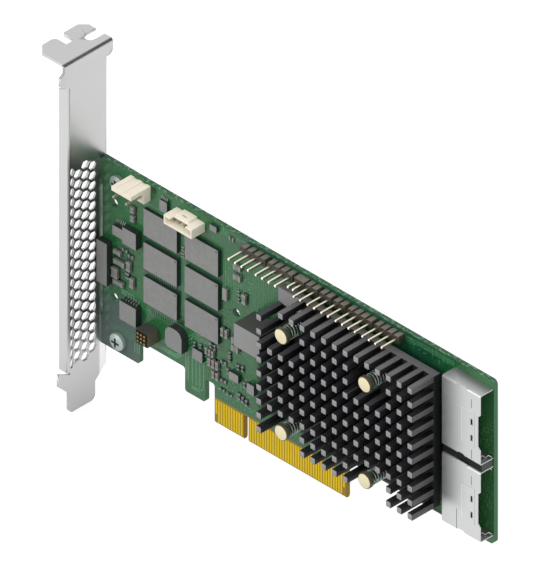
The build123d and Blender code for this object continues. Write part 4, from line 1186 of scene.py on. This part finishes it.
def vias():
    """Vias and short tracks over the open parts of the board."""
    grow_over("front_vias", VIA_AREAS, 0.0, via_field, {"Spacing": 0.0019, "Finish": "trace"})
    grow_over("back_vias", BACK_VIA_AREAS, SOLDER_FACE, via_field, {"Spacing": 0.0042, "Finish": "trace"})
    grow_over("front_dashes", BRIGHT_AREAS, 0.0, dash_field, {
        "Spacing": 0.00105, "Longest": 0.0017, "Finish": "bright_trace",
    })
    grow_over("dark_dashes", DARK_AREAS, 0.0, dash_field, {
        "Spacing": 0.00125, "Longest": 0.0013, "Width": 0.00025, "Seed": 3, "Finish": "dark_mask_and_shade",
    })


def row(start, pitch, count, profile):
    """The same small line at even steps along the card, from its places up and out of the board."""
    return [[(start + pitch * index, z, h) for z, h in profile] for index in range(count)]


def small_marks():
    """Rings round the push pins' holes, chip legs, dark strips and the dots on the memory chips; the strips
    between the memory chip rows are painted shade.
    """
    spots = [place(x, z, h) for x, z in PUSH_PINS for h in (0.0, SOLDER_FACE)]
    grow("push_pin_rings", points_mesh("push_pin_ring", spots), flat_rings, "tin", {
        "Radius": 0.0022, "Rim": 0.0007, "Sides": 28, "Finish": "solder",
    })
    legs = row(24.6, 0.55, 5, ((66.3, 0.5), (66.9, 0.5), (67.5, 0.1)))
    legs += row(7.4, 0.7, 5, ((49.7, 0.9), (50.4, 0.9), (51.1, 0.1)))
    legs += row(18.6, 0.8, 15, ((37.9, 0.05), (38.8, 0.05)))
    line_strips("small_chip_legs", legs, "tin", {
        "Width": 0.00028, "Thickness": 0.00012, "Corner": 0.0003, "Finish": "leg",
    })
    # painted shade: dark strips under the edges of the memory chips, between their rows
    gaps = row(18.2, 0.8, 16, ((37.9, 0.03), (38.9, 0.03)))
    gaps += row(20.4, 0.9, 13, ((24.9, 0.03), (26.3, 0.03)))
    gaps += row(20.6, 0.4, 4, ((68.3, 0.03), (66.6, 0.03)))
    line_strips("dark_strips", gaps, "board", {"Width": 0.0004, "Finish": "dark_mask_and_shade"})
    grow_on("memory_dots", MEMORY_CORNERS, MEMORY_FACE, turned_heads, "chip", {
        "Sides": 12, "Radius": 0.0003, "Height": 0.00003, "Rim": 0.00001,
        "Front Finish": "chip_side", "Side Finish": "chip_side",
    })


def socket_details():
    """Painted highlights along the latch plates' edges, dark slits and seams, and springs across the mouths.
    """
    plates, slits = [], []
    for low in SOCKET_LOWS:
        corners = ((LATCH_LEFT, LATCH_LOW), (LATCH_LEFT, LATCH_HIGH), (LATCH_RIGHT, LATCH_HIGH))
        plates.append([(x, low + rise, LATCH_FACE) for x, rise in corners])
    for x, low, high in (
        (SLIT_PLACE, 34.5, 37.5), (SLIT_PLACE, 60.85, 63.85), (SLIT_PLACE, 43.6, 46.5), (146.0, 16.9, 23.5),
    ):
        slits.append([(x, low, SOCKET_FACE), (x, high, SOCKET_FACE)])
    springs = [
        [(152.8 + 0.55 * index, level + 0.75 * (index % 2), 3.1 - 0.7 * index) for index in range(5)]
        for level in (16.8, 39.0, 43.15)
    ]
    # thin bright strips that paint the highlight where the raised latch plates catch the light
    line_strips("latch_plate_highlights", plates, "shell", {
        "Width": 0.00014, "Corner": 0.0003, "Finish": "shell_line",
    })
    line_strips("shell_slits", slits, "black_plastic", {"Width": 0.00014, "Finish": "black"})
    line_strips("mouth_springs", springs, "shell", {
        "Width": 0.00022, "Thickness": 0.00022, "Corner": 0.0001, "Facing": (0, 0, 1),
        "Finish": "shell_line",
    })


def ray_kinds(net):
    """Whether a ray is mirrored or let through, and whether it is one of those or the camera's."""
    path = net.add("ShaderNodeLightPath").outputs
    mirror = net.math("MAXIMUM", path["Is Glossy Ray"], path["Is Transmission Ray"])
    return mirror, net.math("MAXIMUM", mirror, path["Is Camera Ray"])


def surroundings():
    """White surroundings with one dark side that only mirrored rays see."""
    world = bpy.data.worlds.new("studio")
    bpy.context.scene.world = world
    net = cleared(world)
    way = net.add("ShaderNodeTexCoord").outputs["Generated"]
    towards = tuple(Vector((1, 1, 1)).normalized())
    lean = net.add("ShaderNodeVectorMath", {0: way, 1: towards}, operation="DOT_PRODUCT")
    mirror, direct = ray_kinds(net)
    dark = net.times(net.step(lean.outputs["Value"], 0.5, 0.85), mirror)
    glow = net.out("ShaderNodeBackground", {
        "Color": net.blend(dark, (1, 1, 1), (0.1, 0.1, 0.1)), "Strength": net.linear(direct, 0.3, 0.7),
    })
    net.add("ShaderNodeOutputWorld", {"Surface": glow})


def pale_floor():
    """A floor under the card that the camera sees as white."""
    mesh = bpy.data.meshes.new("floor")
    half, level = 3.0, cad_box[0][2] - 0.0005
    corners = ((-half, -half), (half, -half), (half, half), (-half, half))
    mesh.from_pydata([(x, y, level) for x, y in corners], [], [(0, 1, 2, 3)])
    floor = add_object("floor", mesh)
    paint = bpy.data.materials.new("pale_floor")
    net = cleared(paint)
    strength = net.times(ray_kinds(net)[1], 0.8)
    glow = net.out("ShaderNodeEmission", {"Color": (1, 1, 1), "Strength": strength})
    matt = net.out("ShaderNodeBsdfDiffuse", {"Color": (0.35, 0.35, 0.35)})
    both = net.out("ShaderNodeAddShader", {0: glow, 1: matt})
    net.add("ShaderNodeOutputMaterial", {"Surface": both})
    floor.data.materials.append(paint)


def studio():
    """Soft lights, and the camera at the photo's isometric angle."""
    surroundings()
    pale_floor()
    for name, spot, size, power in (
        ("key_light", (-0.45, -1.0, 0.75), 0.8, 7.0),
        ("fill_light", (0.9, -0.5, 0.5), 0.9, 2.0),
    ):
        light = bpy.data.lights.new(name, "AREA")
        light.shape = "DISK"
        light.size = size
        light.energy = power
        lamp = add_object(name, light)
        lamp.location = spot
        aim = Vector((0.01, 0, 0.04)) - Vector(spot)
        lamp.rotation_euler = aim.to_track_quat("-Z", "Y").to_euler()

    lens = bpy.data.cameras.new("camera")
    lens.type = "ORTHO"
    lens.ortho_scale = 0.15883
    camera = add_object("camera", lens)
    target = Vector((0.009806, -0.000785, 0.0585))
    camera.location = target + Vector((1, -1, 1)).normalized() * 0.7
    camera.rotation_euler = Vector((-1, 1, -1)).to_track_quat("-Z", "Y").to_euler()
    bpy.context.scene.camera = camera
    bpy.context.scene.view_settings.view_transform = "Standard"


cards_and_chips()
cooling()
pins()
small_parts()
traces()
vias()
small_marks()
socket_details()
studio()
